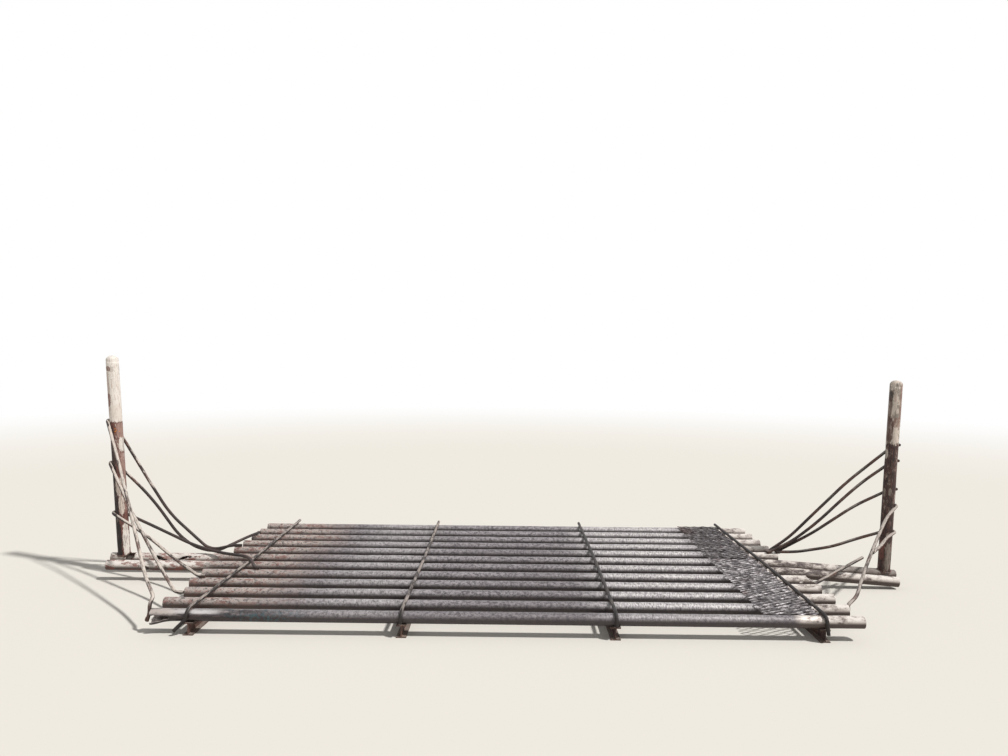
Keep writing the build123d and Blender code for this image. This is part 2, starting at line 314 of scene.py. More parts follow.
def finished_mesh(name: str, bm: BMesh, crease: float = 38) -> Mesh:
    """Turns a built mesh into data with smooth shading between its creases.

    Args:
        name: Name of the data.
        bm: Mesh that was built, which is freed.
        crease: Angle in degrees past which an edge stays sharp.

    Returns:
        The mesh data.
    """
    mesh = bpy.data.meshes.new(name)
    bm.to_mesh(mesh)
    bm.free()
    mesh.shade_smooth()
    mesh.set_sharp_from_angle(angle=math.radians(crease))
    return mesh


def add_bead(bm: BMesh, line: list[Vector], radius: float, seed: float, closed: bool = False) -> None:
    """Adds a weld bead: a lumpy cord of metal with a ripple for each puddle.

    Args:
        bm: Mesh that is being built.
        line: Points that the bead follows.
        radius: Mean radius of the bead.
        seed: Number that picks its lumps.
        closed: Whether the line ends where it starts.
    """
    direction = (line[1] - line[0]).normalized()
    route = Route(line, UP if abs(direction.z) < 0.9 else Vector((0, 1, 0)))
    length = route.length
    puddle = 4.5 * MM
    step = 1.8 * MM
    sides = 9

    def thickness(run: float, angle: float) -> float:
        """Radius with ripples and lumps, drawn in at open ends.

        Args:
            run: Distance along the bead.
            angle: Angle round it.

        Returns:
            The radius.
        """
        ripple = 0.13 * abs(math.sin(math.pi * run / puddle))
        lump = 0.22 * noise.noise(Vector((run * 160, seed * 5.3, math.cos(angle) + 2 * seed)))
        end = 1.0 if closed else min(1.0, 0.45 + min(run, length - run) / (2.2 * radius))
        return radius * end * (0.95 + ripple + lump)

    Skin(route.stations(steps(0, length, step)), sides, thickness).add_to(bm, caps=True)


@dataclass
class SubAssembly:
    """A group of pieces that is built first and dressed afterwards.

    Attributes:
        pieces: The group's pieces, in the order in which they were made.
        beads: Those of them that are bare weld beads.
    """

    pieces: list[Object] = field(default_factory=list, init=False)
    beads: list[Object] = field(default_factory=list, init=False)

    def add(self, name: str, mesh: Mesh, slot: str, *nodes: str) -> Object:
        """Adds a piece that rides on the grid.

        Args:
            name: Name of the piece.
            mesh: Its mesh.
            slot: Not used.
            *nodes: CAD nodes that it stands for.

        Returns:
            The new object.
        """
        piece = bpy.data.objects.new(name, mesh)
        bpy.context.scene.collection.objects.link(piece)
        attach(piece, "root")
        if nodes:
            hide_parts(*nodes)
        self.pieces.append(piece)
        return piece

    def add_welds(self, name: str, bm: BMesh, slot: str) -> Object:
        """Adds a piece made of weld beads, and gives it back."""
        self.beads.append(self.add(name, finished_mesh(name, bm), slot))
        return self.beads[-1]

    def wear(self, material: Material, pieces: list[Object] | None = None) -> None:
        """Gives pieces their one material.

        Args:
            material: The material.
            pieces: The pieces that take it, or all of the group's.
        """
        for piece in self.pieces if pieces is None else pieces:
            piece.data.materials.clear()
            piece.data.materials.append(material)

    def build(self) -> None:
        """Makes the group's meshes."""
        raise NotImplementedError

    def dress(self) -> None:
        """Gives the group's pieces their materials."""
        raise NotImplementedError


class Tree:
    """Shader nodes of a material or of the world, added one after another."""

    def __init__(self, data: Material | World) -> None:
        """Empties the tree.

        Args:
            data: The material or the world that it belongs to.
        """
        data.use_nodes = True
        self.nodes = data.node_tree.nodes
        self.links = data.node_tree.links
        self.nodes.clear()

    def add(self, kind: str, **inputs: Source) -> Node:
        """Adds a node and feeds its inputs.

        Args:
            kind: Type name of the node.
            **inputs: Value or socket for each input, with _ for a space in its name.

        Returns:
            The new node.
        """
        node = self.nodes.new(kind)
        for name, source in inputs.items():
            self.feed(node.inputs[name.replace("_", " ")], source)
        return node

    def feed(self, socket: Socket, source: Source) -> None:
        """Links a socket, or sets its value.

        Args:
            socket: Input that is fed.
            source: Socket or value.
        """
        if isinstance(source, Socket):
            self.links.new(source, socket)
        else:
            socket.default_value = source

    def calculate(self, operation: str, a: Source, b: Source = 0.0) -> Socket:
        """Does one sum.

        Args:
            operation: Blender's name of the operation.
            a: First number.
            b: Second number.

        Returns:
            The result.
        """
        node = self.nodes.new("ShaderNodeMath")
        node.operation = operation
        self.feed(node.inputs[0], a)
        self.feed(node.inputs[1], b)
        return node.outputs[0]

    def both(self, a: Source, b: Source) -> Socket:
        """Share of two masks that overlap."""
        return self.calculate("MULTIPLY", a, b)

    def either(self, a: Source, b: Source) -> Socket:
        """The stronger of two masks."""
        return self.calculate("MAXIMUM", a, b)

    def rest_of(self, a: Source) -> Socket:
        """What a mask leaves."""
        return self.calculate("SUBTRACT", 1.0, a)

    def rise(self, value: Source, low: float, high: float, top: float = 1.0) -> Socket:
        """Mask that changes smoothly with a value.

        Args:
            value: The value.
            low: Value at which the mask is 0, which may lie above the other.
            high: Value at which the mask is full.
            top: The full mask.

        Returns:
            The mask.
        """
        node = self.nodes.new("ShaderNodeMapRange")
        node.interpolation_type = "SMOOTHSTEP"
        flipped = low > high
        ends = (high, low, top, 0.0) if flipped else (low, high, 0.0, top)
        self.feed(node.inputs["Value"], value)
        for name, end in zip(("From Min", "From Max", "To Min", "To Max"), ends):
            node.inputs[name].default_value = end
        return node.outputs["Result"]

    def near(self, value: Source, middle: float, inner: float, outer: float) -> Socket:
        """Mask that is full within an inner distance of a middle, and gone past an outer one."""
        away = self.calculate("ABSOLUTE", self.calculate("SUBTRACT", value, middle))
        return self.rise(away, outer, inner)

    def level(self, share: Source, low: float, high: float) -> Socket:
        """Number that goes from low to high with a share."""
        return self.calculate("ADD", self.calculate("MULTIPLY", share, high - low), low)

    def paint(self, share: Source, under: Source, over: Source) -> Socket:
        """Lays one colour over another.

        Args:
            share: How much of the upper colour shows.
            under: Lower colour.
            over: Upper colour.

        Returns:
            The mixed colour.
        """
        # Mix has sockets for each kind of data: those for colours are inputs 6 and 7 and output 2
        node = self.nodes.new("ShaderNodeMix")
        node.data_type = "RGBA"
        for index, source in ((0, share), (6, under), (7, over)):
            self.feed(node.inputs[index], source)
        return node.outputs[2]


class Recipe(Tree):
    """Procedural material, whose coats are laid one over another."""

    def __init__(self, name: str, by_grain: bool = False) -> None:
        """Starts the material.

        Args:
            name: Name of the material.
            by_grain: Whether its noise follows the grain of a bar, or else the place in the scene.
        """
        self.material = bpy.data.materials.new(name)
        super().__init__(self.material)
        self.colour: Source = (0.0, 0.0, 0.0, 1.0)
        self.place = self.add("ShaderNodeTexCoord").outputs["Object"]
        attribute = self.add("ShaderNodeAttribute")
        attribute.attribute_name = GRAIN
        self.grain = attribute.outputs["Vector"]
        self.along = self.grain if by_grain else self.place
        self.x, self.y, self.z = self.parts(self.place)
        _, self.sideways, self.upwards = self.parts(self.grain)
        self.facing_up = self.parts(self.add("ShaderNodeNewGeometry").outputs["Normal"])[2]

    def parts(self, vector: Socket) -> list[Socket]:
        """The three numbers of a vector."""
        return list(self.add("ShaderNodeSeparateXYZ", Vector=vector).outputs)

    def cloud(
        self,
        size: float,
        detail: float = 5,
        rough: float = 0.6,
        stretch: float = 1.0,
        along: Socket | None = None,
    ) -> Socket:
        """Noise from 0 to 1.

        Args:
            size: Size of its largest blotches, in metres.
            detail: Number of finer layers.
            rough: Strength of the finer layers.
            stretch: How many times longer the blotches are along the first axis.
            along: Coordinates, or else the recipe's own.

        Returns:
            The noise.
        """
        scaled = self.nodes.new("ShaderNodeVectorMath")
        scaled.operation = "MULTIPLY"
        self.feed(scaled.inputs[0], along or self.along)
        scaled.inputs[1].default_value = (1 / (size * stretch), 1 / size, 1 / size)
        place = scaled.outputs[0]
        noises = self.add("ShaderNodeTexNoise", Vector=place, Scale=1.0, Detail=detail, Roughness=rough)
        return noises.outputs["Fac"]

    def dots(self, spacing: float) -> Socket:
        """Distance from the nearest of many scattered points, as a share of their spacing."""
        return self.add("ShaderNodeTexVoronoi", Vector=self.grain, Scale=1 / spacing).outputs["Distance"]

    def lay(self, share: Source, over: Source) -> None:
        """Lays a coat over those that are there."""
        self.colour = self.paint(share, self.colour, over)

    def bump(self, height: Socket, depth: float, under: Socket | None = None) -> Socket:
        """Relief from a height between 0 and 1.

        Args:
            height: The height.
            depth: Depth of the relief, in metres.
            under: Normal of the relief below it.

        Returns:
            The normal.
        """
        node = self.add("ShaderNodeBump", Height=height, Distance=depth, Strength=1.0)
        if under is not None:
            self.feed(node.inputs["Normal"], under)
        return node.outputs["Normal"]

    def finish(self, rough: Source, metal: Source, normal: Socket) -> Material:
        """Joins the coats, the gloss and the relief in the shader.

        Args:
            rough: Roughness.
            metal: Share of bare metal.
            normal: Surface normal.

        Returns:
            The material.
        """
        layers = {"Base_Color": self.colour, "Roughness": rough, "Metallic": metal, "Normal": normal}
        shader = self.add("ShaderNodeBsdfPrincipled", **layers)
        self.add("ShaderNodeOutputMaterial", Surface=shader.outputs["BSDF"])
        return self.material


@dataclass(frozen=True)
class Plan:
    """Places that all the sub-assemblies share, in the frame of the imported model.

    Attributes:
        rail_radius: Outer radius of a rail.
        axis_z: Height of the rails' axes.
        left_x: Left ends of the plain rails.
        right_x: Right ends of the plain rails.
        first_y: Place of rail 1 along the road.
        pitch: Distance from one rail to the next.
        droop_start: How far inside their ends the long rails bend down.
        droop_angle: Slope of the long rails' right ends, in degrees.
        droop_bend_radius: Radius of that bend.
        rails: Number of rails.
        wall: Wall of the rails.
        rod_radius: Radius of the round bars.
        seat_gap: Clearance where bars are seated.
    """

    rail_radius: float
    axis_z: float
    left_x: float
    right_x: float
    first_y: float
    pitch: float
    droop_start: float = 110 * MM
    droop_angle: float = 4.3
    droop_bend_radius: float = 1500 * MM
    rails: int = 12
    wall: float = 5.5 * MM
    rod_radius: float = 11.1 * MM
    seat_gap: float = 0.3 * MM

    @classmethod
    def read(cls) -> "Plan":
        """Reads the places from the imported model's rails.

        Returns:
            The plan.
        """
        near_low, near_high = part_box("rail_01")
        low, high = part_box(f"rail_{cls.rails:02d}")
        near_y, far_y = (near_low.y + near_high.y) / 2, (low.y + high.y) / 2
        pitch = (far_y - near_y) / (cls.rails - 1)
        return cls((high.y - low.y) / 2, (high.z + low.z) / 2, low.x, high.x, near_y, pitch)

    @property
    def top_z(self) -> float:
        """Height of the rails' tops."""
        return self.axis_z + self.rail_radius

    @property
    def middle_x(self) -> float:
        """Middle of the plain rails."""
        return (self.left_x + self.right_x) / 2

    def rail_y(self, number: float) -> float:
        """Place of a rail along the road, counted from the front; the number may lie between rails."""
        return self.first_y + (number - 1) * self.pitch

    def long_rail_z(self, x: float) -> float:
        """Height of a long rail's axis, which falls away past the start of its droop."""
        past = max(0.0, x - self.right_x + self.droop_start)
        return self.axis_z - past * math.tan(math.radians(self.droop_angle))

    def end_x(self, side: Side) -> float:
        """Place of the plain rails' ends on one side."""
        return self.left_x if side is Side.LEFT else self.right_x

    def outside(self, side: Side, x: float) -> float:
        """Distance outside the plain rails' ends on one side."""
        return side.value * (x - self.end_x(side))


@dataclass(frozen=True)
class RailSteel:
    """Pipe that tyres have worn: scale, scuffed wheel tracks, rusty left ends and dusty right ends, with
    painted shade on the flanks and a painted highlight.

    Attributes:
        plan: Shared places.
        dark_scale_and_shade: Dark scale, laid on the flanks as painted shade below the paler tops, and
            over the front rail's glossy end.
        scale: Dark mottle on the tops.
        worn: Pale mottle on the tops.
        scuff_and_highlight: Metal that the tyres have rubbed bright, also the colour of the painted
            highlight.
        rust: Red rust.
        brown: Brown rust, also laid as painted shade on rail 7's right end and on the lower faces of the
            right ends.
        tan: Weathered skin of the left ends.
        dust: Cream road dust.
        teal_reflection: Painted reflection, blue-green, on the front rail.
        tracks: Middle, full half width, outer half width and strength of each wheel track.
        highlight_x: Place of the painted highlight near the front rail's left end.
        gloss_to: Where the front rail's glossy left end stops.
        left_to: Where the rusty left ends stop.
        matt_to: Where the matt crust on them stops.
        dust_from: Where the dusty right ends start.
        shade_from: Where the painted shade on rail 7's right end starts.
    """

    plan: Plan
    dark_scale_and_shade: Colour = tone(52, 47, 49)
    scale: Colour = tone(80, 74, 77)
    worn: Colour = tone(160, 154, 157)
    scuff_and_highlight: Colour = tone(226, 222, 220)
    rust: Colour = tone(122, 70, 58)
    brown: Colour = tone(84, 71, 66)
    tan: Colour = tone(188, 177, 170)
    dust: Colour = tone(230, 223, 216)
    teal_reflection: Colour = tone(62, 92, 98)
    tracks: tuple[tuple[float, float, float, float], ...] = (
        (-0.85, 0.1, 0.5, 0.5),
        (1.1, 0.3, 0.62, 1.0),
    )
    highlight_x: float = -1.8
    gloss_to: float = -1.1
    left_to: float = -1.15
    matt_to: float = -2.05
    dust_from: float = 1.93
    shade_from: float = 2.56

    def make(self) -> Material:
        """Makes the material.

        Returns:
            The material.
        """
        r = Recipe("rail_steel")
        plan = self.plan
        broad = r.cloud(0.3, 4, stretch=2.5)
        mottle = r.cloud(0.015, 7, 0.78, stretch=1.3)
        scuffs = r.cloud(0.02, 6, 0.75, stretch=0.35)
        pits = r.cloud(0.005, 4, 0.7)
        top = r.rise(r.facing_up, -0.1, 0.8)
        grey = r.paint(r.rise(mottle, 0.4, 0.58), self.scale, self.worn)
        grey = r.paint(r.rise(broad, 0.42, 0.66, 0.35), grey, self.scale)
        dark_scale_and_shade = r.paint(r.rise(mottle, 0.42, 0.6, 0.35), self.dark_scale_and_shade, self.brown)
        # Painted shade: the flanks take the dark scale and the tops the paler mottle, partly scale and
        # partly shading from the light above.
        r.colour = r.paint(top, dark_scale_and_shade, grey)
        front = r.near(r.y, plan.first_y, 0.05, 0.08)
        r.lay(r.both(front, 0.3), self.scale)
        self.rub(r, top, scuffs, front)
        self.weather(r, top, broad, front)
        self.strew(r, top, front)
        # Painted shade: rail 7's right end is laid over with brown.
        painted_shade_end = r.rise(r.x, self.shade_from, self.shade_from + 0.08)
        shaded = r.both(r.near(r.y, plan.rail_y(7), 0.04, 0.06), painted_shade_end)
        r.lay(r.both(shaded, 0.72), self.brown)
        dusty = r.rise(r.x, self.dust_from, self.dust_from + 0.05)
        matt = r.either(dusty, r.rise(r.x, self.matt_to, self.matt_to - 0.15))
        gloss = r.both(front, r.rise(r.x, self.gloss_to, self.gloss_to - 0.5))
        self.glaze(r, gloss, front)
        rough = r.calculate("SUBTRACT", r.level(matt, 0.5, 0.85), r.both(gloss, 0.2))
        metal = r.both(r.rest_of(matt), r.level(gloss, 0.25, 0.6))
        return r.finish(rough, metal, r.bump(mottle, 0.0011, r.bump(pits, 0.0006)))

    def rub(self, r: Recipe, top: Socket, scuffs: Socket, front: Socket) -> None:
        """Rubs the wheel tracks bright.

        Args:
            r: The material's recipe.
            top: Mask of the tops.
            scuffs: Noise drawn out along the road.
            front: Mask of the front rail, which is worn less.
        """
        track: Source = 0.0
        for middle, inner, outer, strength in self.tracks:
            track = r.either(track, r.both(r.near(r.x, middle, inner, outer), strength))
        rubbed = r.both(r.both(track, top), r.level(r.rise(scuffs, 0.4, 0.62), 0.05, 0.82))
        r.lay(r.both(rubbed, r.rest_of(r.both(front, 0.5))), self.scuff_and_highlight)
        r.lay(r.both(r.rise(scuffs, 0.6, 0.72, 0.6), top), self.scuff_and_highlight)

    def glaze(self, r: Recipe, gloss: Socket, front: Socket) -> None:
        """Darkens the front rail's left end, but for a painted highlight, a tan tip and a blue-green
        painted reflection.

        Args:
            r: The material's recipe.
            gloss: Mask of the glossy stretch.
            front: Mask of the front rail.
        """
        smears = r.cloud(0.03, 5, 0.65, stretch=3)
        r.lay(r.both(gloss, r.rise(smears, 0.62, 0.42, 0.8)), self.dark_scale_and_shade)
        past_highlight = r.rise(r.x, self.highlight_x - 0.05, self.highlight_x - 0.15)
        tip = r.both(r.both(front, past_highlight), r.rise(r.facing_up, 0.0, 0.6))
        r.lay(r.both(tip, r.rise(smears, 0.36, 0.52)), self.tan)
        # Painted highlight: a bright spot on the top of the front rail near its left end.
        spot = r.both(r.near(r.x, self.highlight_x, 0.05, 0.2), r.near(r.facing_up, 0.72, 0.1, 0.4))
        r.lay(r.both(r.both(front, spot), r.rise(smears, 0.28, 0.5, 0.75)), self.scuff_and_highlight)
        # Painted reflection: faint blue-green blots on the front rail, right of the highlight.
        blots = r.rise(r.cloud(0.02, 5, 0.7, along=r.grain), 0.5, 0.6, 0.6)
        painted_reflection = r.both(r.near(r.x, self.highlight_x + 0.4, 0.1, 0.3), blots)
        r.lay(r.both(front, painted_reflection), self.teal_reflection)

    def weather(self, r: Recipe, top: Socket, broad: Socket, front: Socket) -> None:
        """Weathers the left ends: a tan skin, red rust in blotches and specks, and dust on the long runs.

        Args:
            r: The material's recipe.
            top: Mask of the tops.
            broad: Wide noise.
            front: Mask of the front rail, whose end stays dark.
        """
        past = r.calculate("ADD", r.x, r.level(broad, -0.4, 0.4))
        left = r.both(r.rise(past, self.left_to, self.left_to - 0.55), r.rest_of(r.both(front, 0.8)))
        patches = r.cloud(0.035, 6, 0.75, stretch=2)
        specks = r.cloud(0.02, 6, 0.75, stretch=1.3)
        r.lay(r.both(left, 0.7), self.brown)
        r.lay(r.both(left, r.both(top, r.rise(specks, 0.4, 0.52, 0.95))), self.tan)
        red = r.either(r.rise(patches, 0.5, 0.6, 0.75), r.rise(specks, 0.56, 0.61, 0.85))
        r.lay(r.both(left, r.both(red, r.level(top, 0.3, 1.0))), self.rust)
        r.lay(r.rise(patches, 0.62, 0.72, 0.7), self.brown)
        run_out = r.rise(r.x, self.plan.left_x + 0.02, self.plan.left_x - 0.12)
        cake = r.both(run_out, r.rise(r.cloud(0.06, 7, 0.78, stretch=2), 0.38, 0.5))
        r.lay(r.both(cake, r.rise(r.facing_up, -0.45, 0.4)), self.dust)
        r.lay(r.both(run_out, r.rise(patches, 0.5, 0.58, 0.8)), self.rust)

    def strew(self, r: Recipe, top: Socket, front: Socket) -> None:
        """Lays tan and cream dust over brown rust on the right ends, with the tan only on faces that look
        up, so the lower faces stay brown as painted shade.

        Args:
            r: The material's recipe.
            top: Mask of the tops.
            front: Mask of the front rail, on which the dust starts sooner.
        """
        past = r.calculate("ADD", r.x, r.both(front, 0.15))
        right = r.rise(past, self.dust_from - 0.05, self.dust_from + 0.03)
        bare = r.both(r.near(r.y, self.plan.rail_y(6.5), 0.14, 0.16), r.near(r.x, 2.2, 0.2, 0.3))
        cake = r.cloud(0.045, 7, 0.78, stretch=1.8)
        cake = r.calculate("SUBTRACT", cake, r.both(bare, 0.09))
        r.lay(r.both(right, 0.75), self.brown)
        # Painted light and shade: tan on faces that look up, brown below, partly dust and partly shading.
        lit = r.rise(r.facing_up, -0.2, 0.55)
        r.lay(r.both(right, r.both(lit, r.rise(cake, 0.34, 0.48))), self.tan)
        r.lay(r.both(right, r.both(top, r.rise(cake, 0.43, 0.55))), self.dust)


@dataclass(frozen=True)
class BarSteel:
    """Round bar: brown and dark scale, with a pale skin of weathering that shows most on what looks up,
    partly as painted light, leaving the undersides dark as painted shade.

    Attributes:
        name: Name of the material.
        dark: Dark scale.
        pale: Pale skin of weathering, also standing in for light on faces that look up.
        rust: Red-brown rust.
        pale_share: Noise level above which the pale skin shows.
        dark_below: Height under which the bar is darker, with hardly any pale skin.
    """

    name: str
    dark: Colour = tone(54, 46, 44)
    pale: Colour = tone(208, 197, 187)
    rust: Colour = tone(104, 76, 67)
    pale_share: float = 0.68
    dark_below: float = 0.0

    def make(self) -> Material:
        """Makes the material.

        Returns:
            The material.
        """
        r = Recipe(self.name, by_grain=True)
        patches = r.cloud(0.03, 6, 0.72, stretch=4)
        streaks = r.cloud(0.006, 4, 0.7, stretch=8)
        fine = r.cloud(0.003, 3, 0.7)
        rusty = r.rise(r.cloud(0.05, 5, 0.7, stretch=3), 0.45, 0.62, 0.85)
        r.colour = r.paint(rusty, self.dark, self.rust)
        # Painted light and shade: faces that look up are given more of the pale skin, so the undersides
        # stay dark.
        weathered_and_lit = r.calculate("ADD", patches, r.rise(r.facing_up, -0.6, 0.8, 0.3))
        weathered_and_lit = r.calculate("ADD", weathered_and_lit, r.level(r.cloud(0.1, 3, stretch=4), -0.25, 0.25))
        if self.dark_below:
            # Darker towards the bottom.
            low = r.rise(r.z, self.dark_below + 0.12, self.dark_below)
            r.lay(r.both(low, 0.7), self.dark)
            weathered_and_lit = r.calculate("SUBTRACT", weathered_and_lit, r.both(low, 0.26))
        skin = r.rise(weathered_and_lit, self.pale_share, self.pale_share + 0.12)
        skin = r.both(skin, r.level(r.rise(streaks, 0.3, 0.52), 0.25, 1.0))
        r.lay(skin, self.pale)
        relief = r.bump(streaks, 0.0009, r.bump(fine, 0.0004))
        return r.finish(r.level(skin, 0.6, 0.8), r.both(r.rest_of(skin), 0.25), relief)


@dataclass(frozen=True)
class MeshSteel:
    """Expanded metal: dark and grey dashes, bright where worn strands look up, brown at its back corner;
    the dashes and the bright tops are partly painted shade and light.

    Attributes:
        dark: Dark scale, which also stands in for shade between the strands.
        grey: Weathered steel.
        bright: Worn strands that look up, partly a painted highlight.
        rust: Rust.
        corner_x: Where the brown corner is full, across the road.
        corner_y: Where it is full, along the road.
    """

    dark: Colour = tone(56, 50, 52)
    grey: Colour = tone(126, 120, 122)
    bright: Colour = tone(188, 183, 184)
    rust: Colour = tone(84, 58, 52)
    corner_x: float = 1.55
    corner_y: float = 1.0

    def make(self) -> Material:
        """Makes the material.

        Returns:
            The material.
        """
        r = Recipe("mesh_steel")
        blotch = r.cloud(0.05, 5, 0.65)
        dashes = r.cloud(0.022, 5, 0.6, stretch=3.5)
        fine = r.cloud(0.004, 4, 0.7)
        top = r.rise(r.facing_up, 0.0, 0.7)
        # Partly painted light and shade: dashes of dark and grey noise, and bright wear on faces that look
        # up.
        r.colour = r.paint(r.rise(dashes, 0.38, 0.56), self.dark, self.grey)
        worn = r.both(r.rise(dashes, 0.52, 0.6), r.rise(fine, 0.3, 0.5))
        r.lay(r.both(top, worn), self.bright)
        # Darker towards the back, in blotches.
        back = r.rise(r.y, 0.1, 0.9, 0.45)
        r.lay(r.both(back, r.rise(blotch, 0.6, 0.4)), self.dark)
        to_left = r.rise(r.x, self.corner_x + 0.2, self.corner_x)
        corner = r.both(to_left, r.rise(r.y, self.corner_y - 0.25, self.corner_y))
        patches = r.either(corner, r.rise(r.cloud(0.09, 5, 0.7), 0.58, 0.7))
        r.lay(r.both(patches, 0.7), self.rust)
        return r.finish(0.55, 0.25, r.bump(fine, 0.0006))


class Coat(Enum):
    """What shows on a post, as screen colours."""

    WHITE = (232, 225, 216)
    CREAM = (214, 202, 190)
    PINK = (172, 142, 132)
    RED = (118, 74, 64)
    RUST = (82, 54, 48)
    DARK = (36, 28, 26)
    # Near black: dark paint, deepened as painted shade on a post's left side.
    SOOT = (20, 16, 16)
    GREY = (144, 133, 123)
    LICHEN = (230, 146, 34)

    @property
    def colour(self) -> Colour:
        """Its colour in a shader."""
        return tone(*self.value)


@dataclass(frozen=True)
class Patch:
    """Ragged place on the front of a post where another coat shows.

    Attributes:
        coat: What shows there.
        height: Height of its middle above the floor.
        half_height: Half its height.
        across: Its middle, from the left edge (-1) to the right edge (1), as seen from the front.
        half_width: Half its width, as a share of the post's radius.
        share: How much of the coat shows.
    """

    coat: Coat
    height: float
    half_height: float
    across: float
    half_width: float
    share: float = 1.0


@dataclass(frozen=True)
class PostPaint:
    """Old paint on a post: pale above a ragged line, red-brown below it, with patches and stains.

    Attributes:
        name: Name of the material.
        line: Height of the line where the pale paint ends.
        line_wave: How far the line wanders.
        sound_from: Noise level above which the pale paint is sound.
        patches: Places where another coat shows, one over another; the dark ones on a post's left side are
            partly painted shade, the pale ones low on its right side partly painted light.
        upper: Coat above the line.
        under: Coat where the pale paint has worn away.
        red: Coat below the line.
        rust: Its darker streaks.
        grime: Coat that streaks the pale paint.
        lichen: Height of the middle of the orange lichen, or 0 for none.
        peeling: Share at which paler coats show through below the line.
        seen_from: Direction of the photograph's view of it, in degrees to the right of straight ahead.
        radius: Radius of the post.
    """

    name: str
    line: float
    line_wave: float
    sound_from: float
    patches: tuple[Patch, ...]
    upper: Coat = Coat.WHITE
    under: Coat = Coat.CREAM
    red: Coat = Coat.RED
    rust: Coat = Coat.RUST
    grime: Coat = Coat.PINK
    lichen: float = 0.0
    peeling: float = 1.0
    seen_from: float = 27.0
    radius: float = 44.45 * MM

    def make(self) -> Material:
        """Makes the material.

        Returns:
            The material.
        """
        r = Recipe(self.name, by_grain=True)
        ragged = r.cloud(0.022, 8, 0.8, stretch=1.8)
        flakes = r.cloud(0.04, 8, 0.78, stretch=2.2)
        drips = r.cloud(0.009, 6, 0.75, stretch=7)
        fine = r.cloud(0.004, 4, 0.7)
        r.colour = r.paint(r.rise(drips, 0.4, 0.58), self.red.colour, self.rust.colour)
        r.lay(r.rise(flakes, 0.48, 0.6, 0.5 * self.peeling), Coat.PINK.colour)
        peeled = r.both(r.rise(flakes, 0.58, 0.62, self.peeling), r.rise(drips, 0.36, 0.5))
        r.lay(peeled, Coat.CREAM.colour)
        height = r.calculate("ADD", r.z, r.level(ragged, -self.line_wave, self.line_wave))
        above = r.rise(height, self.line - 4 * MM, self.line + 4 * MM)
        grime = r.paint(r.rise(drips, 0.5, 0.64, 0.65), self.upper.colour, self.grime.colour)
        specks = r.cloud(0.012, 5, 0.75, stretch=1.5)
        grime = r.paint(r.rise(specks, 0.6, 0.66, 0.6), grime, self.rust.colour)
        r.lay(above, self.under.colour)
        sound = r.both(above, r.rise(flakes, self.sound_from - 0.04, self.sound_from + 0.04))
        r.lay(sound, grime)
        turn = math.radians(self.seen_from)
        to_right = self.blend(r, -math.cos(turn) / self.radius, math.sin(turn) / self.radius)
        in_front = r.rise(self.blend(r, -math.sin(turn), -math.cos(turn)), -6 * MM, 6 * MM)
        gaps = r.level(r.rise(drips, 0.62, 0.45), 0.35, 1.0)
        for patch in self.patches:
            mask = r.both(self.spread(r, patch, to_right, ragged), gaps)
            r.lay(r.both(r.both(mask, in_front), patch.share), patch.coat.colour)
        if self.lichen:
            band = r.both(r.near(r.z, self.lichen, 0.032, 0.046), r.near(to_right, 0.2, 0.38, 0.55))
            spot = r.rise(r.dots(0.017), 0.32, 0.25)
            r.lay(r.both(r.both(spot, band), in_front), Coat.LICHEN.colour)
        relief = r.bump(drips, 0.0008, r.bump(fine, 0.0005))
        return r.finish(0.72, 0.0, r.bump(r.either(above, peeled), 0.0007, relief))

    @staticmethod
    def blend(r: Recipe, to_left: float, to_back: float) -> Socket:
        """Distances to the left and to the back of the post's axis, weighted and added."""
        return r.calculate("ADD", r.both(r.sideways, to_left), r.both(r.upwards, to_back))

    @staticmethod
    def spread(r: Recipe, patch: Patch, to_right: Socket, ragged: Socket) -> Socket:
        """Mask of one patch, an oval with a ragged edge.

        Args:
            r: The material's recipe.
            patch: The patch.
            to_right: Place across the post.
            ragged: Noise that frays the edge.

        Returns:
            The mask.
        """
        away: Source = r.level(ragged, -2.0, 2.0)
        for value, middle, half in (
            (r.z, patch.height, patch.half_height), (to_right, patch.across, patch.half_width),
        ):
            share = r.calculate("DIVIDE", r.calculate("SUBTRACT", value, middle), half)
            away = r.calculate("ADD", away, r.calculate("POWER", r.calculate("ABSOLUTE", share), 2.5))
        return r.rise(away, 1.12, 0.88)


LEFT_PAINT = PostPaint(
    "left_post_paint",
    line=1.15,
    line_wave=0.04,
    sound_from=0.36,
    lichen=1.08,
    patches=(
        Patch(Coat.GREY, 1.545, 0.02, -0.25, 0.4, 0.5),
        Patch(Coat.RED, 1.55, 0.018, -0.72, 0.3, 0.95),
        Patch(Coat.PINK, 1.36, 0.17, -0.98, 0.32, 0.6),
        Patch(Coat.RED, 1.315, 0.05, -0.88, 0.3, 0.95),
        Patch(Coat.CREAM, 1.22, 0.06, 0.3, 0.9, 0.5),
        Patch(Coat.PINK, 1.08, 0.065, 0.55, 0.5, 0.8),
        # Dark left edge: partly dark paint, partly painted shade.
        Patch(Coat.DARK, 0.93, 0.19, -0.8, 0.45, 0.95),
        Patch(Coat.WHITE, 0.978, 0.055, 0.62, 0.45, 0.9),
        Patch(Coat.PINK, 0.8, 0.12, 0.7, 0.5, 0.7),
        # Lower post: near black on the left, partly paint and partly painted shade.
        Patch(Coat.SOOT, 0.4, 0.42, -0.82, 0.42),
        Patch(Coat.SOOT, 0.24, 0.16, -0.6, 0.4),
        Patch(Coat.CREAM, 0.66, 0.07, -0.25, 0.4, 0.9),
        Patch(Coat.CREAM, 0.52, 0.075, 0.05, 0.42, 0.95),
        # Pale lower right side: partly paint, partly painted light.
        Patch(Coat.WHITE, 0.25, 0.13, 0.42, 0.5, 0.95),
    ),
)
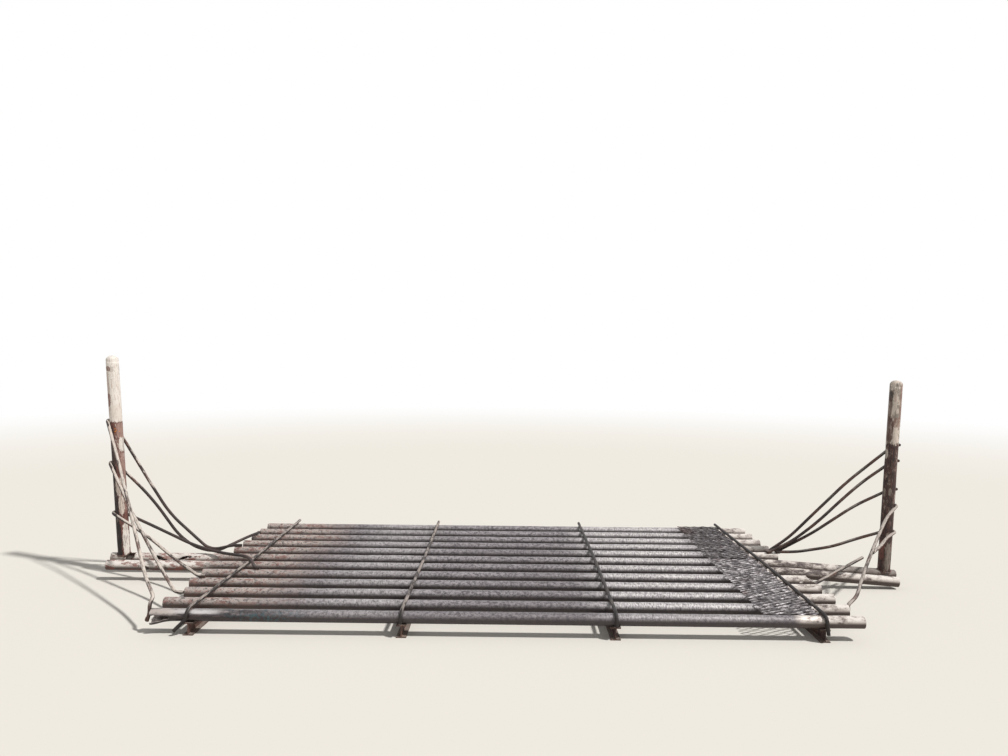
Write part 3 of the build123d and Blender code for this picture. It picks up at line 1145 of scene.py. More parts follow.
# Painted shade: the right post's coats are darker than the left post's, partly its own paint, and its dark
# patches on the left side are partly painted shade.
SHADED_RIGHT_PAINT = PostPaint(
    "right_post_paint",
    line=1.04,
    line_wave=0.12,
    sound_from=0.5,
    upper=Coat.CREAM,
    under=Coat.GREY,
    red=Coat.RUST,
    rust=Coat.DARK,
    peeling=0.45,
    seen_from=-27.0,
    patches=(
        Patch(Coat.DARK, 1.4, 0.04, -0.7, 0.4, 0.85),
        Patch(Coat.RUST, 1.3, 0.09, -0.85, 0.45, 0.7),
        Patch(Coat.RUST, 1.15, 0.095, -0.55, 0.6, 0.95),
        Patch(Coat.RED, 1.36, 0.14, 0.95, 0.25, 0.7),
        Patch(Coat.RED, 1.2, 0.04, 0.5, 0.6, 0.6),
        Patch(Coat.CREAM, 1.1, 0.06, 0.4, 0.45, 0.9),
        Patch(Coat.CREAM, 0.965, 0.035, -0.75, 0.22, 0.8),
        Patch(Coat.GREY, 0.67, 0.032, -0.74, 0.24, 0.9),
        Patch(Coat.GREY, 0.68, 0.028, 0.15, 0.24, 0.9),
        Patch(Coat.RED, 0.24, 0.07, -0.55, 0.45, 0.8),
        Patch(Coat.GREY, 0.19, 0.1, 0.45, 0.45, 0.75),
    ),
)


@dataclass(frozen=True)
class HiddenSteel:
    """Beams under the rails: brown rust with darker runs and dust on the flanges.

    Attributes:
        rust: Brown rust.
        dark: Darker rust.
        dust: Dust on faces that look up.
    """

    rust: Colour = tone(104, 76, 66)
    dark: Colour = tone(62, 50, 47)
    dust: Colour = tone(150, 138, 128)

    def make(self) -> Material:
        """Makes the material.

        Returns:
            The material.
        """
        r = Recipe("bearer_steel")
        blotch = r.cloud(0.08, 6, 0.7)
        fine = r.cloud(0.005, 4, 0.7)
        r.colour = r.paint(r.rise(blotch, 0.35, 0.65), self.dark, self.rust)
        r.lay(r.both(r.rise(r.facing_up, 0.5, 0.9), r.rise(fine, 0.35, 0.6)), self.dust)
        return r.finish(0.8, 0.1, r.bump(blotch, 0.0012, r.bump(fine, 0.0006)))


@dataclass(frozen=True)
class WeldMetal:
    """Weld beads: blue-grey metal gone brown.

    Attributes:
        dark: Scale on the bead.
        rust: Rust.
    """

    dark: Colour = tone(74, 66, 65)
    rust: Colour = tone(114, 80, 66)

    @cache
    def make(self) -> Material:
        """Makes the material, once for all the beads.

        Returns:
            The material.
        """
        r = Recipe("weld_metal")
        blotch = r.cloud(0.012, 5, 0.7)
        r.colour = r.paint(r.rise(blotch, 0.4, 0.6), self.dark, self.rust)
        return r.finish(0.6, 0.3, r.bump(blotch, 0.0005))


@dataclass(frozen=True)
class Opening:
    """Hole or tear in a rail, as it looks from the front.

    Attributes:
        side: Side of the road.
        outline: Its corners, as distance outside the plain rails' ends and depth below the top, in mm.
        through: Whether it also goes through the back wall.
        ragged: How far its edge wanders, in millimetres.
    """

    side: Side
    outline: tuple[Pair, ...]
    through: bool = False
    ragged: float = 5.0

    def stretch(self) -> Pair:
        """First and last distance outside the rails' ends, with a margin, in metres."""
        outside = [corner[0] for corner in self.outline]
        return (min(outside) - 12) * MM, (max(outside) + 12) * MM

    def distance(self, outside: float, depth: float) -> float:
        """Distance from the edge, negative inside the opening.

        Args:
            outside: Distance outside the plain rails' ends, in metres.
            depth: Depth below the rail's top, in metres.

        Returns:
            The distance, in metres.
        """
        place = Vector((outside, depth)) / MM
        corners = [Vector(corner) for corner in self.outline]
        away, inside = math.inf, False
        for a, b in zip(corners, corners[1:] + corners[:1]):
            share = min(1.0, max(0.0, (place - a).dot(b - a) / (b - a).length_squared))
            away = min(away, (place - a.lerp(b, share)).length)
            if (a.y > place.y) != (b.y > place.y):
                inside ^= place.x < a.x + (b.x - a.x) * (place.y - a.y) / (b.y - a.y)
        coarse = Vector((place.x / 22, place.y / 22, len(corners)))
        shake = self.ragged * (noise.noise(coarse) + 0.4 * noise.noise(coarse * 3.1))
        return ((-away if inside else away) + shake) * MM


@dataclass(frozen=True)
class Flap:
    """Strip beside an opening that is bent up or down.

    Attributes:
        side: Side of the road.
        middle: Place of its middle, as distance outside the plain rails' ends, in millimetres.
        half: Half its length.
        depths: Depths below the rail's top between which metal moves.
        hinge: Distance in front of the rail's axis where nothing moves, and where all of it does.
        lift: How far its edge is bent up.
        pull: How far its edge is bent to the front.
    """

    side: Side
    middle: float
    half: float
    depths: Pair
    hinge: Pair
    lift: float
    pull: float = 0.0

    def shift(self, outside: float, front: float, depth: float) -> Vector:
        """How far a point of the rail moves.

        Args:
            outside: Distance outside the plain rails' ends, in metres.
            front: Distance in front of the rail's axis, in metres.
            depth: Depth below the rail's top, in metres.

        Returns:
            The move.
        """
        if not self.depths[0] <= depth / MM <= self.depths[1]:
            return Vector()
        still, free = self.hinge
        share = min(1.0, max(0.0, (front / MM - still) / (free - still)))
        share *= share * math.exp(-((outside / MM - self.middle) / self.half) ** 2)
        return Vector((0, -self.pull, self.lift)) * share * MM


@dataclass
class RailBank(SubAssembly):
    """Twelve pipe rails, dented and worn, with the damage that four of them carry.

    Attributes:
        plan: Shared places.
        long_rails: Rails that run on past both sides.
        sides: Points round a rail.
        step: Longest step along a rail.
        dent_depth: Depth of the deepest dents.
        left_ends: How the left ends are cut that aren't torched.
        right_ends: The same for the right ends.
        openings: Holes and tears of each rail.
        flaps: Bent strips of each rail.
    """

    plan: Plan
    long_rails: tuple[int, int] = (6, 7)
    sides: int = 60
    step: float = 30 * MM
    dent_depth: float = 2.6 * MM
    left_ends: dict[int, RailEnd] = field(default_factory=lambda: {6: RailEnd.SAWN, 7: RailEnd.ROTTEN})
    right_ends: dict[int, RailEnd] = field(default_factory=lambda: {
        1: RailEnd.SAWN,
        5: RailEnd.ROTTEN,
        6: RailEnd.SAWN,
    })
    openings: dict[int, tuple[Opening, ...]] = field(default_factory=lambda: {
        1: (
            Opening(Side.LEFT, (
                (-18, 30), (-95, 33), (-137, 38), (-146, 44), (-137, 51), (-95, 56), (-18, 57),
            )),
        ),
        5: (
            Opening(Side.RIGHT, ((-20, -8), (-19, 8), (15, 30), (58, 48), (58, -8)), through=True),
            Opening(Side.RIGHT, ((-74, 36), (-67, 28), (-53, 28), (-46, 36), (-53, 44), (-67, 45))),
        ),
        6: (Opening(Side.LEFT, ((446, 80), (468, 46), (490, 33), (513, 28), (516, 80))),),
        7: (
            Opening(Side.LEFT, (
                (196, 16), (290, 22), (345, 29), (421, 33), (472, 22),
                (511, 14), (505, 42), (455, 53), (370, 52), (290, 36),
            )),
            Opening(Side.LEFT, (
                (676, -8), (674, 20), (684, 36), (699, 49), (728, 54), (744, 47), (744, -8),
            )),
        ),
    })
    flaps: dict[int, tuple[Flap, ...]] = field(default_factory=lambda: {
        1: (Flap(Side.LEFT, -24, 76, (51, 80), (-24, 8), -23, 7),),
        7: (
            Flap(Side.LEFT, 402, 62, (-2, 36), (-8, 16), -13, 5),
            Flap(Side.LEFT, 286, 46, (-2, 34), (-8, 16), 9, 3),
            Flap(Side.LEFT, 492, 26, (-2, 30), (-8, 16), 7),
        ),
    })

    def route(self, number: int) -> Route:
        """Axis of a rail, from its left end to its right end.

        Args:
            number: The rail, counted from the front.

        Returns:
            The axis.
        """
        plan = self.plan
        low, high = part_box(f"rail_{number:02d}")
        y, z = plan.rail_y(number), plan.axis_z
        if number not in self.long_rails:
            return Route([Vector((low.x, y, z)), Vector((high.x, y, z))])
        bend_x = plan.right_x - plan.droop_start
        end_x = high.x - plan.rail_radius * math.sin(math.radians(plan.droop_angle))
        points = [(low.x, y, z), (bend_x, y, z), (end_x, y, plan.long_rail_z(end_x))]
        return Route.rounded([Vector(point) for point in points], [plan.droop_bend_radius])

    def dents(self, number: int, length: float) -> list[Dent]:
        """Places of a rail's dents.

        Args:
            number: The rail.
            length: Its length.

        Returns:
            The run, the angle, the depth and the half length of each.
        """
        made = []
        count = 11
        for index in range(count):
            shake = Vector((number * 3.7, index * 5.1, 0.5))
            along = length * (index + 0.5 + 0.45 * noise.noise(shake)) / count
            angle = math.pi / 2 - 0.3 + 1.2 * noise.noise(shake + UP * 3)
            depth = self.dent_depth * abs(noise.noise(shake + UP * 7)) * 1.6
            made.append((along, angle, depth, 0.03 + 0.04 * abs(noise.noise(shake + UP * 9))))
        return made

    def radius(self, number: int, dents: list[Dent], run: float, angle: float) -> float:
        """Outer radius of a rail, with its dents and the waviness of old pipe.

        Args:
            number: The rail.
            dents: Its dents.
            run: Distance along it.
            angle: Angle round it.

        Returns:
            The radius.
        """
        full = self.plan.rail_radius
        wave = noise.noise(Vector((run * 9, number * 2.0, math.cos(angle) * 1.5)))
        reach = full - 0.4 * MM * abs(wave)
        for along, round_to, depth, half in dents:
            away = (run - along) / half
            if abs(away) < 2.4:
                turned = math.remainder(angle - round_to, math.tau) * full / half
                reach -= depth * math.exp(-away * away - turned * turned)
        return reach

    def metal(self, number: int, route: Route, run: float, angle: float) -> float:
        """How far inside the metal of a rail a place lies.

        Args:
            number: The rail.
            route: Its axis.
            run: Distance along it.
            angle: Angle round it.

        Returns:
            The distance, negative where the metal is gone.
        """
        left = self.left_ends.get(number, RailEnd.TORCHED).value
        right = self.right_ends.get(number, RailEnd.TORCHED).value
        ring = Vector((math.cos(angle) * 2.2, math.sin(angle) * 2.2, number * 1.7))
        trims = (left * (0.5 + noise.noise(ring)), right * (0.5 + noise.noise(ring + UP * 5)))
        inside = min(run - max(0.0, trims[0]), route.length - max(0.0, trims[1]) - run)
        depth = self.plan.rail_radius * (1 - math.sin(angle))
        for opening in self.openings.get(number, ()):
            first, last = opening.stretch()
            outside = self.plan.outside(opening.side, route.line[0].x + run)
            if first < outside < last and (opening.through or math.cos(angle) > -0.01):
                inside = min(inside, opening.distance(outside, depth))
        return inside

    def bend_flaps(self, number: int, route: Route, skin: Skin) -> None:
        """Bends the strips beside a rail's openings.

        Args:
            number: The rail.
            route: Its axis.
            skin: Its skin, whose points move.
        """
        for flap in self.flaps.get(number, ()):
            for key, (run, front, above) in skin.grains.items():
                outside = self.plan.outside(flap.side, route.line[0].x + run)
                skin.places[key] += flap.shift(outside, front, self.plan.rail_radius - above)

    def close_stretches(self, number: int, route: Route) -> list[Pair]:
        """Stretches of a rail that take fine steps: its ends and its openings.

        Args:
            number: The rail.
            route: Its axis.

        Returns:
            The first and last run of each, in order.
        """
        margin = 12 * MM
        made = [(0.0, margin), (route.length - margin, route.length)]
        for opening in self.openings.get(number, ()):
            start = self.plan.outside(opening.side, route.line[0].x)
            runs = [(place - start) * opening.side.value for place in opening.stretch()]
            made.append((min(runs), max(runs)))
        return sorted(made)

    def build(self) -> None:
        """Makes the rails."""
        for number in range(1, self.plan.rails + 1):
            name = f"rail_{number:02d}"
            route = self.route(number)
            runs = steps(0, route.length, self.step, self.close_stretches(number, route))
            outer = partial(self.radius, number, self.dents(number, route.length))
            metal = partial(self.metal, number, route)
            skin = Skin(route.stations(runs), self.sides, outer, metal)
            self.bend_flaps(number, route, skin)
            bm = bmesh.new()
            skin.add_to(bm)
            piece = self.add(f"{name}_pipe", finished_mesh(name, bm), "rail_steel", name)
            wall = piece.modifiers.new("wall", "SOLIDIFY")
            wall.thickness = self.plan.wall
            wall.offset = -1
            log.info("%s: %.2f m of pipe", piece.name, route.length)

    def dress(self) -> None:
        """Gives the rails their steel."""
        self.wear(RailSteel(self.plan).make())


@dataclass
class Bearers(SubAssembly):
    """Rolled beams under the rails, which keep the CAD model's own solids."""

    def build(self) -> None:
        """Takes over the four CAD nodes."""
        self.pieces = [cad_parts[f"bearer_{number}"] for number in range(1, 5)]

    def dress(self) -> None:
        """Gives the beams their rust."""
        self.wear(HiddenSteel().make())
        for piece in self.pieces:
            log.info("%s: rolled beam", piece.name)


@dataclass
class RoundBars(SubAssembly):
    """Shared work of the round bars: their skin, their ends and the welds that hold them.

    Attributes:
        plan: Shared places.
        sides: Points round a bar.
        step: Longest step along a bar.
        bead: Radius of the weld beads.
        steels: Steel of the rods whose names fit a pattern.
    """

    plan: Plan
    sides: int = 18
    step: float = 9 * MM
    bead: float = 3.2 * MM
    steels: dict[str, BarSteel] = field(default_factory=dict)

    def bar(self, name: str, route: Route, seed: float, slot: str) -> None:
        """Makes one bar along a route, a little uneven, with rounded edges at its cut ends.

        Args:
            name: The CAD node that it stands for.
            route: Its axis.
            seed: Number that picks its unevenness.
            slot: The record's material slot.
        """
        full = self.plan.rod_radius
        edge = 1.6 * MM
        length = route.length

        def radius(run: float, angle: float) -> float:
            """Radius with shallow flats, drawn in at the ends.

            Args:
                run: Distance along the bar.
                angle: Angle round it.

            Returns:
                The radius.
            """
            end = max(0.0, 1 - min(run, length - run) / edge)
            flat = 0.5 * MM * max(0.0, noise.noise(Vector((run * 22, seed, math.cos(angle) * 1.4))))
            return full - flat - edge * (1 - math.sqrt(max(0.0, 1 - end * end)))

        tips = [edge * share for share in (0.12, 0.4, 1.0)]
        body = steps(edge * 2, length - edge * 2, self.step)
        runs = [0.0, *tips, *body, *[length - tip for tip in reversed(tips)], length]
        bm = bmesh.new()
        Skin(route.stations(runs), self.sides, radius).add_to(bm, caps=True)
        piece = self.add(f"{name}_bar", finished_mesh(name, bm), slot, name)
        log.info("%s: %.2f m of round bar", piece.name, length)

    def seam(
        self,
        bm: BMesh,
        route: Route,
        runs: list[float],
        towards: Callable[[Vector], Vector],
        seed: float,
    ) -> None:
        """Adds a bead on both sides of the line where a bar touches what carries it.

        Args:
            bm: Mesh that is being built.
            route: The bar's axis.
            runs: Distances along the bar, in order.
            towards: Direction from a point of the axis to what carries the bar.
            seed: Number that picks the lumps.
        """
        for side in (-1, 1):
            line = []
            for run in runs:
                centre, direction = route.at(run)
                inward = towards(centre)
                inward = (inward - direction * inward.dot(direction)).normalized()
                beside = direction.cross(inward) * side
                line.append(centre + (inward * 0.78 + beside * 0.66) * self.plan.rod_radius)
            add_bead(bm, line, self.bead, seed + side)

    def dress(self) -> None:
        """Gives the rods their steels and the beads their weld metal."""
        for pattern, steel in self.steels.items():
            self.wear(steel.make(), [piece for piece in self.pieces if fnmatch(piece.name, pattern)])
        self.wear(WeldMetal().make(), self.beads)


@dataclass
class TieRods(RoundBars):
    """Four bars across the tops of the rails, bent down over the front rail and welded at each crossing.

    Attributes:
        rods: Side, inset from the rails' ends there, sideways bow, and the sidestep and drop of each
            bend of the foot, in mm.
        back: How far a rod runs past the last rail.
        middle_radius: Radius of the gentle bend at mid length.
        foot_radius: Radius of the second bend of a foot.
        bead: Radius of the weld beads.
        steels: Steels of the two left rods and of the two right ones.
    """

    rods: dict[int, tuple[Side, float, float, list[Pair]]] = field(
        default_factory=lambda: {
            1: (Side.LEFT, 259.5, 16, [(-10, 50), (-80, 119)]),
            2: (Side.LEFT, 1524.5, 6, [(-4, 62)]),
            3: (Side.RIGHT, 1472.5, 8, [(5, 66)]),
            4: (Side.RIGHT, 237.5, 16, [(12, 100)]),
        }
    )
    back: float = 55 * MM
    middle_radius: float = 6000 * MM
    foot_radius: float = 25 * MM
    bead: float = 3.4 * MM
    steels: dict[str, BarSteel] = field(default_factory=lambda: {
        "tie_rod_[12]_*": BarSteel(
            "tie_rod_steel", tone(36, 32, 31), tone(158, 147, 140), tone(62, 52, 48), 0.72
        ),
        "tie_rod_[34]_*": BarSteel(
            "dark_rod_steel", tone(36, 32, 31), tone(112, 103, 98), tone(62, 52, 48), 0.86
        ),
    })

    def route(self, number: int) -> Route:
        """Axis of a rod, from the back to its foot.

        Args:
            number: The rod, counted from the left.

        Returns:
            The axis.
        """
        plan = self.plan
        side, inset, bow, feet = self.rods[number]
        hook = plan.rail_radius + plan.rod_radius + plan.seat_gap
        x = plan.end_x(side) - side.value * inset * MM
        z = plan.axis_z + hook
        front_y = plan.rail_y(1) - hook
        back_y = plan.rail_y(plan.rails) + plan.rail_radius + self.back
        points = [(x, back_y, z), (x + bow * MM, (front_y + back_y) / 2, z), (x, front_y, z)]
        points += [(x + step * MM, front_y, plan.top_z - drop * MM) for step, drop in feet]
        radii = [self.middle_radius, hook, self.foot_radius][:len(points) - 2]
        return Route.rounded([Vector(point) for point in points], radii)

    def weld(self, number: int, route: Route) -> None:
        """Lays a bead on each side of a rod where it crosses a rail.

        Args:
            number: The rod.
            route: Its axis.
        """
        plan = self.plan
        bm = bmesh.new()
        for rail, side in product(range(1, plan.rails + 1), (-1, 1)):
            x = route.crossing(plan.rail_y(rail)).x
            reach = (11 + 4 * wander(rail, number + side, 1.0)) * MM
            line = []
            for index in range(7):
                across = reach * (index / 3 - 1)
                height = plan.axis_z + math.sqrt(plan.rail_radius ** 2 - across ** 2) + 1.5 * MM
                shake = 0.8 * MM * wander(index, rail + number * 3.0, 2.0)
                beside = x + side * (plan.rod_radius * 0.62 + shake)
                line.append(Vector((beside, plan.rail_y(rail) + across, height)))
            add_bead(bm, line, self.bead, rail + number * 2.3 + side)
        piece = self.add_welds(f"tie_rod_{number}_welds", bm, "tie_rod_steel")
        log.info("%s: %d beads", piece.name, 2 * plan.rails)

    def build(self) -> None:
        """Makes the rods and their welds."""
        for number in self.rods:
            route = self.route(number)
            self.bar(f"tie_rod_{number}", route, number * 1.9, "tie_rod_steel")
            self.weld(number, route)


@dataclass
class Walkway(SubAssembly):
    """Raised expanded metal in two sheets: zigzag strands, tilted and bonded to each other.

    Attributes:
        plan: Shared places.
        long_way: Length of a diamond, bond to bond.
        short_way: Width of a diamond, bond to bond.
        bond: Length of a bond.
        strand: Width of a strand.
        thickness: Thickness of the sheet that it was cut from.
        tilt: Tilt of a strand at a bond, in degrees.
        strand_tilt: Tilt halfway along a strand, in degrees.
        unrest: How far the tilt strays, in degrees.
        wave: How far wheels and feet have pushed the strands along the road.
        sag: How far the sheet is pressed down between two rails.
    """

    plan: Plan
    long_way: float = 76.2 * MM
    short_way: float = 44 * MM
    bond: float = 13 * MM
    strand: float = 8 * MM
    thickness: float = 3 * MM
    tilt: float = 50
    strand_tilt: float = 36
    unrest: float = 26
    wave: float = 9 * MM
    sag: float = 4.5 * MM

    @property
    def half_height(self) -> float:
        """Half the height of the sheet at a bond."""
        tilt = math.radians(self.tilt)
        return (self.strand * math.sin(tilt) + self.thickness * math.cos(tilt)) / 2

    def height(self, x: float, y: float) -> float:
        """Height of the sheet's middle: on the rails, and pressed down between them.

        Args:
            x: Place across the road.
            y: Place along the road.

        Returns:
            The height.
        """
        phase = (y - self.plan.first_y) / self.plan.pitch
        trodden = 0.8 + 0.6 * noise.noise(Vector((x * 6, y * 3, 0)))
        dip = self.sag * (0.5 - 0.5 * math.cos(math.tau * phase)) * trodden
        lift = 1.2 * MM * abs(noise.noise(Vector((x * 14, y * 9, 4))))
        return self.plan.top_z + self.half_height - dip + lift

    def section(self, centre: Vector, tilt: float) -> list[Vector]:
        """Corners of a strand's section, with its edges broken.

        Args:
            centre: Middle of the section.
            tilt: Tilt in radians.

        Returns:
            Eight corners.
        """
        wide = Vector((0, math.cos(tilt), math.sin(tilt)))
        thick = Vector((0, -math.sin(tilt), math.cos(tilt)))
        a, b, c = self.strand / 2, self.thickness / 2, 0.6 * MM
        half = [(a, b - c), (a - c, b), (c - a, b), (-a, b - c)]
        corners = half + [(-across, -above) for across, above in half]
        return [centre + wide * across + thick * above for across, above in corners]

    def places(self, left: float, right: float, y: float, first: int, seed: float) -> list[Place]:
        """Places along one zigzag strand that runs across the sheet.

        Args:
            left: Left edge of the sheet.
            right: Right edge.
            y: Middle of the strand along the road.
            first: 1 if the strand starts at its far bonds, -1 if at its near ones.
            seed: Number that picks its unevenness.

        Returns:
            Place across the road, place along it and tilt in degrees, for each.
        """
        half = self.long_way / 2
        swing = (self.short_way / 2 - self.strand * math.cos(math.radians(self.tilt))) / 2
        columns = round((right - left) / half)
        made = []
        for column in range(columns + 1):
            x = left + column * half
            bow = first * (1 if column % 2 == 0 else -1) * swing
            shake = 1.2 * MM * noise.noise(Vector((x * 30, seed * 3.3, 1)))
            shake += self.wave * noise.noise(Vector((x * 9, y * 5, 2)))
            shake += 0.6 * self.wave * noise.noise(Vector((x * 24, y * 14, 8)))
            for step in (-self.bond / 2, self.bond / 2):
                made.append((min(max(x + step, left), right), y + bow + shake, self.tilt))
            if column < columns:
                made.append((x + half / 2, y + shake, self.strand_tilt))
        made[0] = (left - 4 * MM * noise.noise(Vector((seed, 2, 3))), *made[0][1:])
        return made

    def ribbon(self, bm: BMesh, places: list[Place], lean: int, seed: float) -> None:
        """Adds one strand.

        Args:
            bm: Mesh that is being built.
            places: Its places, of which those that all but meet count once.
            lean: 1 if its broad side faces the front, -1 if it faces the back.
            seed: Number that picks its unevenness.
        """
        rings = []
        last_x = -math.inf
        for x, along, tilt in places:
            if x - last_x < 0.5 * MM:
                continue
            last_x = x
            stray = noise.noise(Vector((x * 7, along * 12, 6)))
            stray += 0.4 * noise.noise(Vector((x * 30, seed, 6)))
            turned = lean * math.radians(tilt + self.unrest * stray)
            corners = self.section(Vector((x, along, self.height(x, along))), turned)
            rings.append([bm.verts.new(corner) for corner in corners])
        for before, after in pairwise(rings):
            for index in range(8):
                beside = (index + 1) % 8
                bm.faces.new((before[index], before[beside], after[beside], after[index]))
        bm.faces.new(list(reversed(rings[0])))
        bm.faces.new(rings[-1])

    def build(self) -> None:
        """Makes the two sheets."""
        for index, (name, lean) in enumerate((("walkway_front", 1), ("walkway_back", -1))):
            low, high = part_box(name)
            bm = bmesh.new()
            pitch = self.short_way / 2
            count = int((high.y - low.y) / pitch)
            start = (low.y + high.y - (count - 1) * pitch) / 2
            for row in range(count):
                seed = row + 90.0 * index
                first = 1 if row % 2 else -1
                places = self.places(low.x, high.x, start + row * pitch, first, seed)
                self.ribbon(bm, places, lean, seed)
            bmesh.ops.recalc_face_normals(bm, faces=bm.faces)
            piece = self.add(f"{name}_mesh", finished_mesh(name, bm, 30), "mesh_steel", name)
            log.info("%s: %d strands", piece.name, count)

    def dress(self) -> None:
        """Gives the sheets their steel."""
        self.wear(MeshSteel().make())


@dataclass
class Post(SubAssembly):
    """A leaning pipe post, coped onto its rail, with a welded dome.

    Attributes:
        plan: Shared places.
        side: Side of the road.
        outside: Distance of its foot outside the plain rails' ends.
        height: Height of the dome's top above the rails.
        lean: Lean outwards, in degrees.
        paint: Its paint.
        diameter: Outer diameter.
        wall: Wall of the pipe.
        saddle: Depth of the cope below the rail's top.
        skirt: Straight part of the cap.
        rise: Height of the dome.
        rail: The rail that it stands on.
        sides: Points round the post.
        foot_bead: Radius of the bead round its foot.
        seam_bead: Radius of the bead under the cap.
    """

    plan: Plan
    side: Side
    outside: float
    height: float
    lean: float
    paint: PostPaint
    diameter: float = 88.9 * MM
    wall: float = 6.5 * MM
    saddle: float = 16 * MM
    skirt: float = 14 * MM
    rise: float = 34 * MM
    rail: int = 7
    sides: int = 64
    foot_bead: float = 4.5 * MM
    seam_bead: float = 2.2 * MM

    @property
    def node(self) -> str:
        """The CAD node of its pipe."""
        return f"{self.side.name.lower()}_post"

    @property
    def base_x(self) -> float:
        """Place of the foot across the road."""
        return self.plan.end_x(self.side) + self.side.value * self.outside

    def axis_x(self, height: float) -> float:
        """Place of the axis across the road at a height above the rails' tops."""
        return self.base_x + self.side.value * height * math.tan(math.radians(self.lean))

    def route(self) -> Route:
        """Axis of the post, from its coped foot to the top of the dome.

        Returns:
            The axis.
        """
        base_z = self.plan.long_rail_z(self.base_x) + self.plan.rail_radius - self.saddle
        y = self.plan.rail_y(self.rail)
        foot = Vector((self.axis_x(base_z - self.plan.top_z), y, base_z))
        top = Vector((self.axis_x(self.height), y, self.plan.top_z + self.height))
        return Route([foot, top], Vector((0, 1, 0)))

    def clear_of_rail(self, route: Route, run: float, angle: float) -> float:
        """Distance of a point of the pipe from the rail that the post is coped to.

        Args:
            route: Axis of the post.
            run: Distance along it.
            angle: Angle round it.

        Returns:
            The distance, negative inside the rail.
        """
        plan = self.plan
        radius = self.diameter / 2
        centre, direction = route.at(run)
        across = direction.cross(Vector((0, 1, 0))).normalized()
        place = centre + across * radius * math.cos(angle) + Vector((0, radius * math.sin(angle), 0))
        away = math.hypot(place.y - plan.rail_y(self.rail), place.z - plan.long_rail_z(place.x))
        return away - plan.rail_radius

    def add_pipe(self, route: Route, seam: float, seed: float) -> None:
        """Makes the pipe.

        Args:
            route: Axis of the post.
            seam: Where the cap starts.
            seed: Number that picks its knocks.
        """

        def outer(run: float, angle: float) -> float:
            """Radius with a few knocks."""
            ring = Vector((run * 5, math.cos(angle) * 1.1 + seed, math.sin(angle) * 1.1))
            return self.diameter / 2 - 6 * MM * max(0.0, noise.noise(ring) - 0.25)

        bm = bmesh.new()
        runs = steps(0, seam, 25 * MM, ((0.0, 30 * MM),))
        metal = partial(self.clear_of_rail, route)
        Skin(route.stations(runs), self.sides, outer, metal).add_to(bm)
        pipe = self.add(f"{self.node}_pipe", finished_mesh(self.node, bm), "post_paint", self.node)
        wall = pipe.modifiers.new("wall", "SOLIDIFY")
        wall.thickness = self.wall
        wall.offset = -1

    def add_dome(self, route: Route, seam: float, seed: float) -> None:
        """Makes the cap.

        Args:
            route: Axis of the post.
            seam: Where the cap starts.
            seed: Number that picks its lumps.
        """
        radius = self.diameter / 2

        def domed(run: float, angle: float) -> float:
            """Radius of the cap: straight, then round to the crown.

            Args:
                run: Distance along the post.
                angle: Angle round it.

            Returns:
                The radius.
            """
            share = min(1.0, max(0.0, (run - seam - self.skirt) / self.rise))
            lump = 0.9 * MM * abs(noise.noise(Vector((run * 30, math.cos(angle) + seed, math.sin(angle)))))
            return max(0.6 * MM, radius * math.sqrt(1 - share ** 2) - lump * (1 - share))

        rings = 14
        runs = [seam + 0.4 * MM, *[seam + self.skirt * index / 3 for index in (1, 2, 3)]]
        for index in range(1, rings + 1):
            runs.append(seam + self.skirt + math.sin(math.pi / 2 * index / rings) * self.rise)
        bm = bmesh.new()
        Skin(route.stations(runs), self.sides, domed).add_to(bm, caps=True)
        cap = f"{self.node}_cap"
        self.add(f"{self.node}_dome", finished_mesh(cap, bm), "post_paint", cap)

    def build(self) -> None:
        """Makes the pipe, the cap and the two welds."""
        route = self.route()
        seam = route.length - self.skirt - self.rise
        seed = 3.0 + self.side.value
        self.add_pipe(route, seam, seed)
        self.add_dome(route, seam, seed)
        self.weld(route, seam)
        log.info("%s: %.2f m of pipe with a dome", self.node, route.length)

    def weld(self, route: Route, seam: float) -> None:
        """Lays the beads at the cap's seam and round the coped foot.

        Args:
            route: Axis of the post.
            seam: Where the cap starts.
        """
        radius = self.diameter / 2
        foot, ring = [], []
        for index in range(self.sides + 1):
            angle = math.tau * index / self.sides
            run = 0.0
            while self.clear_of_rail(route, run, angle) < 0 and run < 100 * MM:
                run += 0.5 * MM
            for line, place, reach in ((foot, run, radius + 1.5 * MM), (ring, seam, radius - 2.5 * MM)):
                station = route.stations([place])[0]
                outward = station.side * math.cos(angle) + station.up * math.sin(angle)
                line.append(station.centre + outward * reach)
        bm = bmesh.new()
        add_bead(bm, foot, self.foot_bead, 2.0, closed=True)
        self.add_welds(f"{self.node}_foot_weld", bm, "post_paint")
        bm = bmesh.new()
        add_bead(bm, ring, self.seam_bead, 5.0, closed=True)
        self.add(f"{self.node}_cap_weld", finished_mesh("cap_weld", bm), "post_paint")

    def dress(self) -> None:
        """Paints the post."""
        self.wear(self.paint.make())
        self.wear(WeldMetal().make(), self.beads)


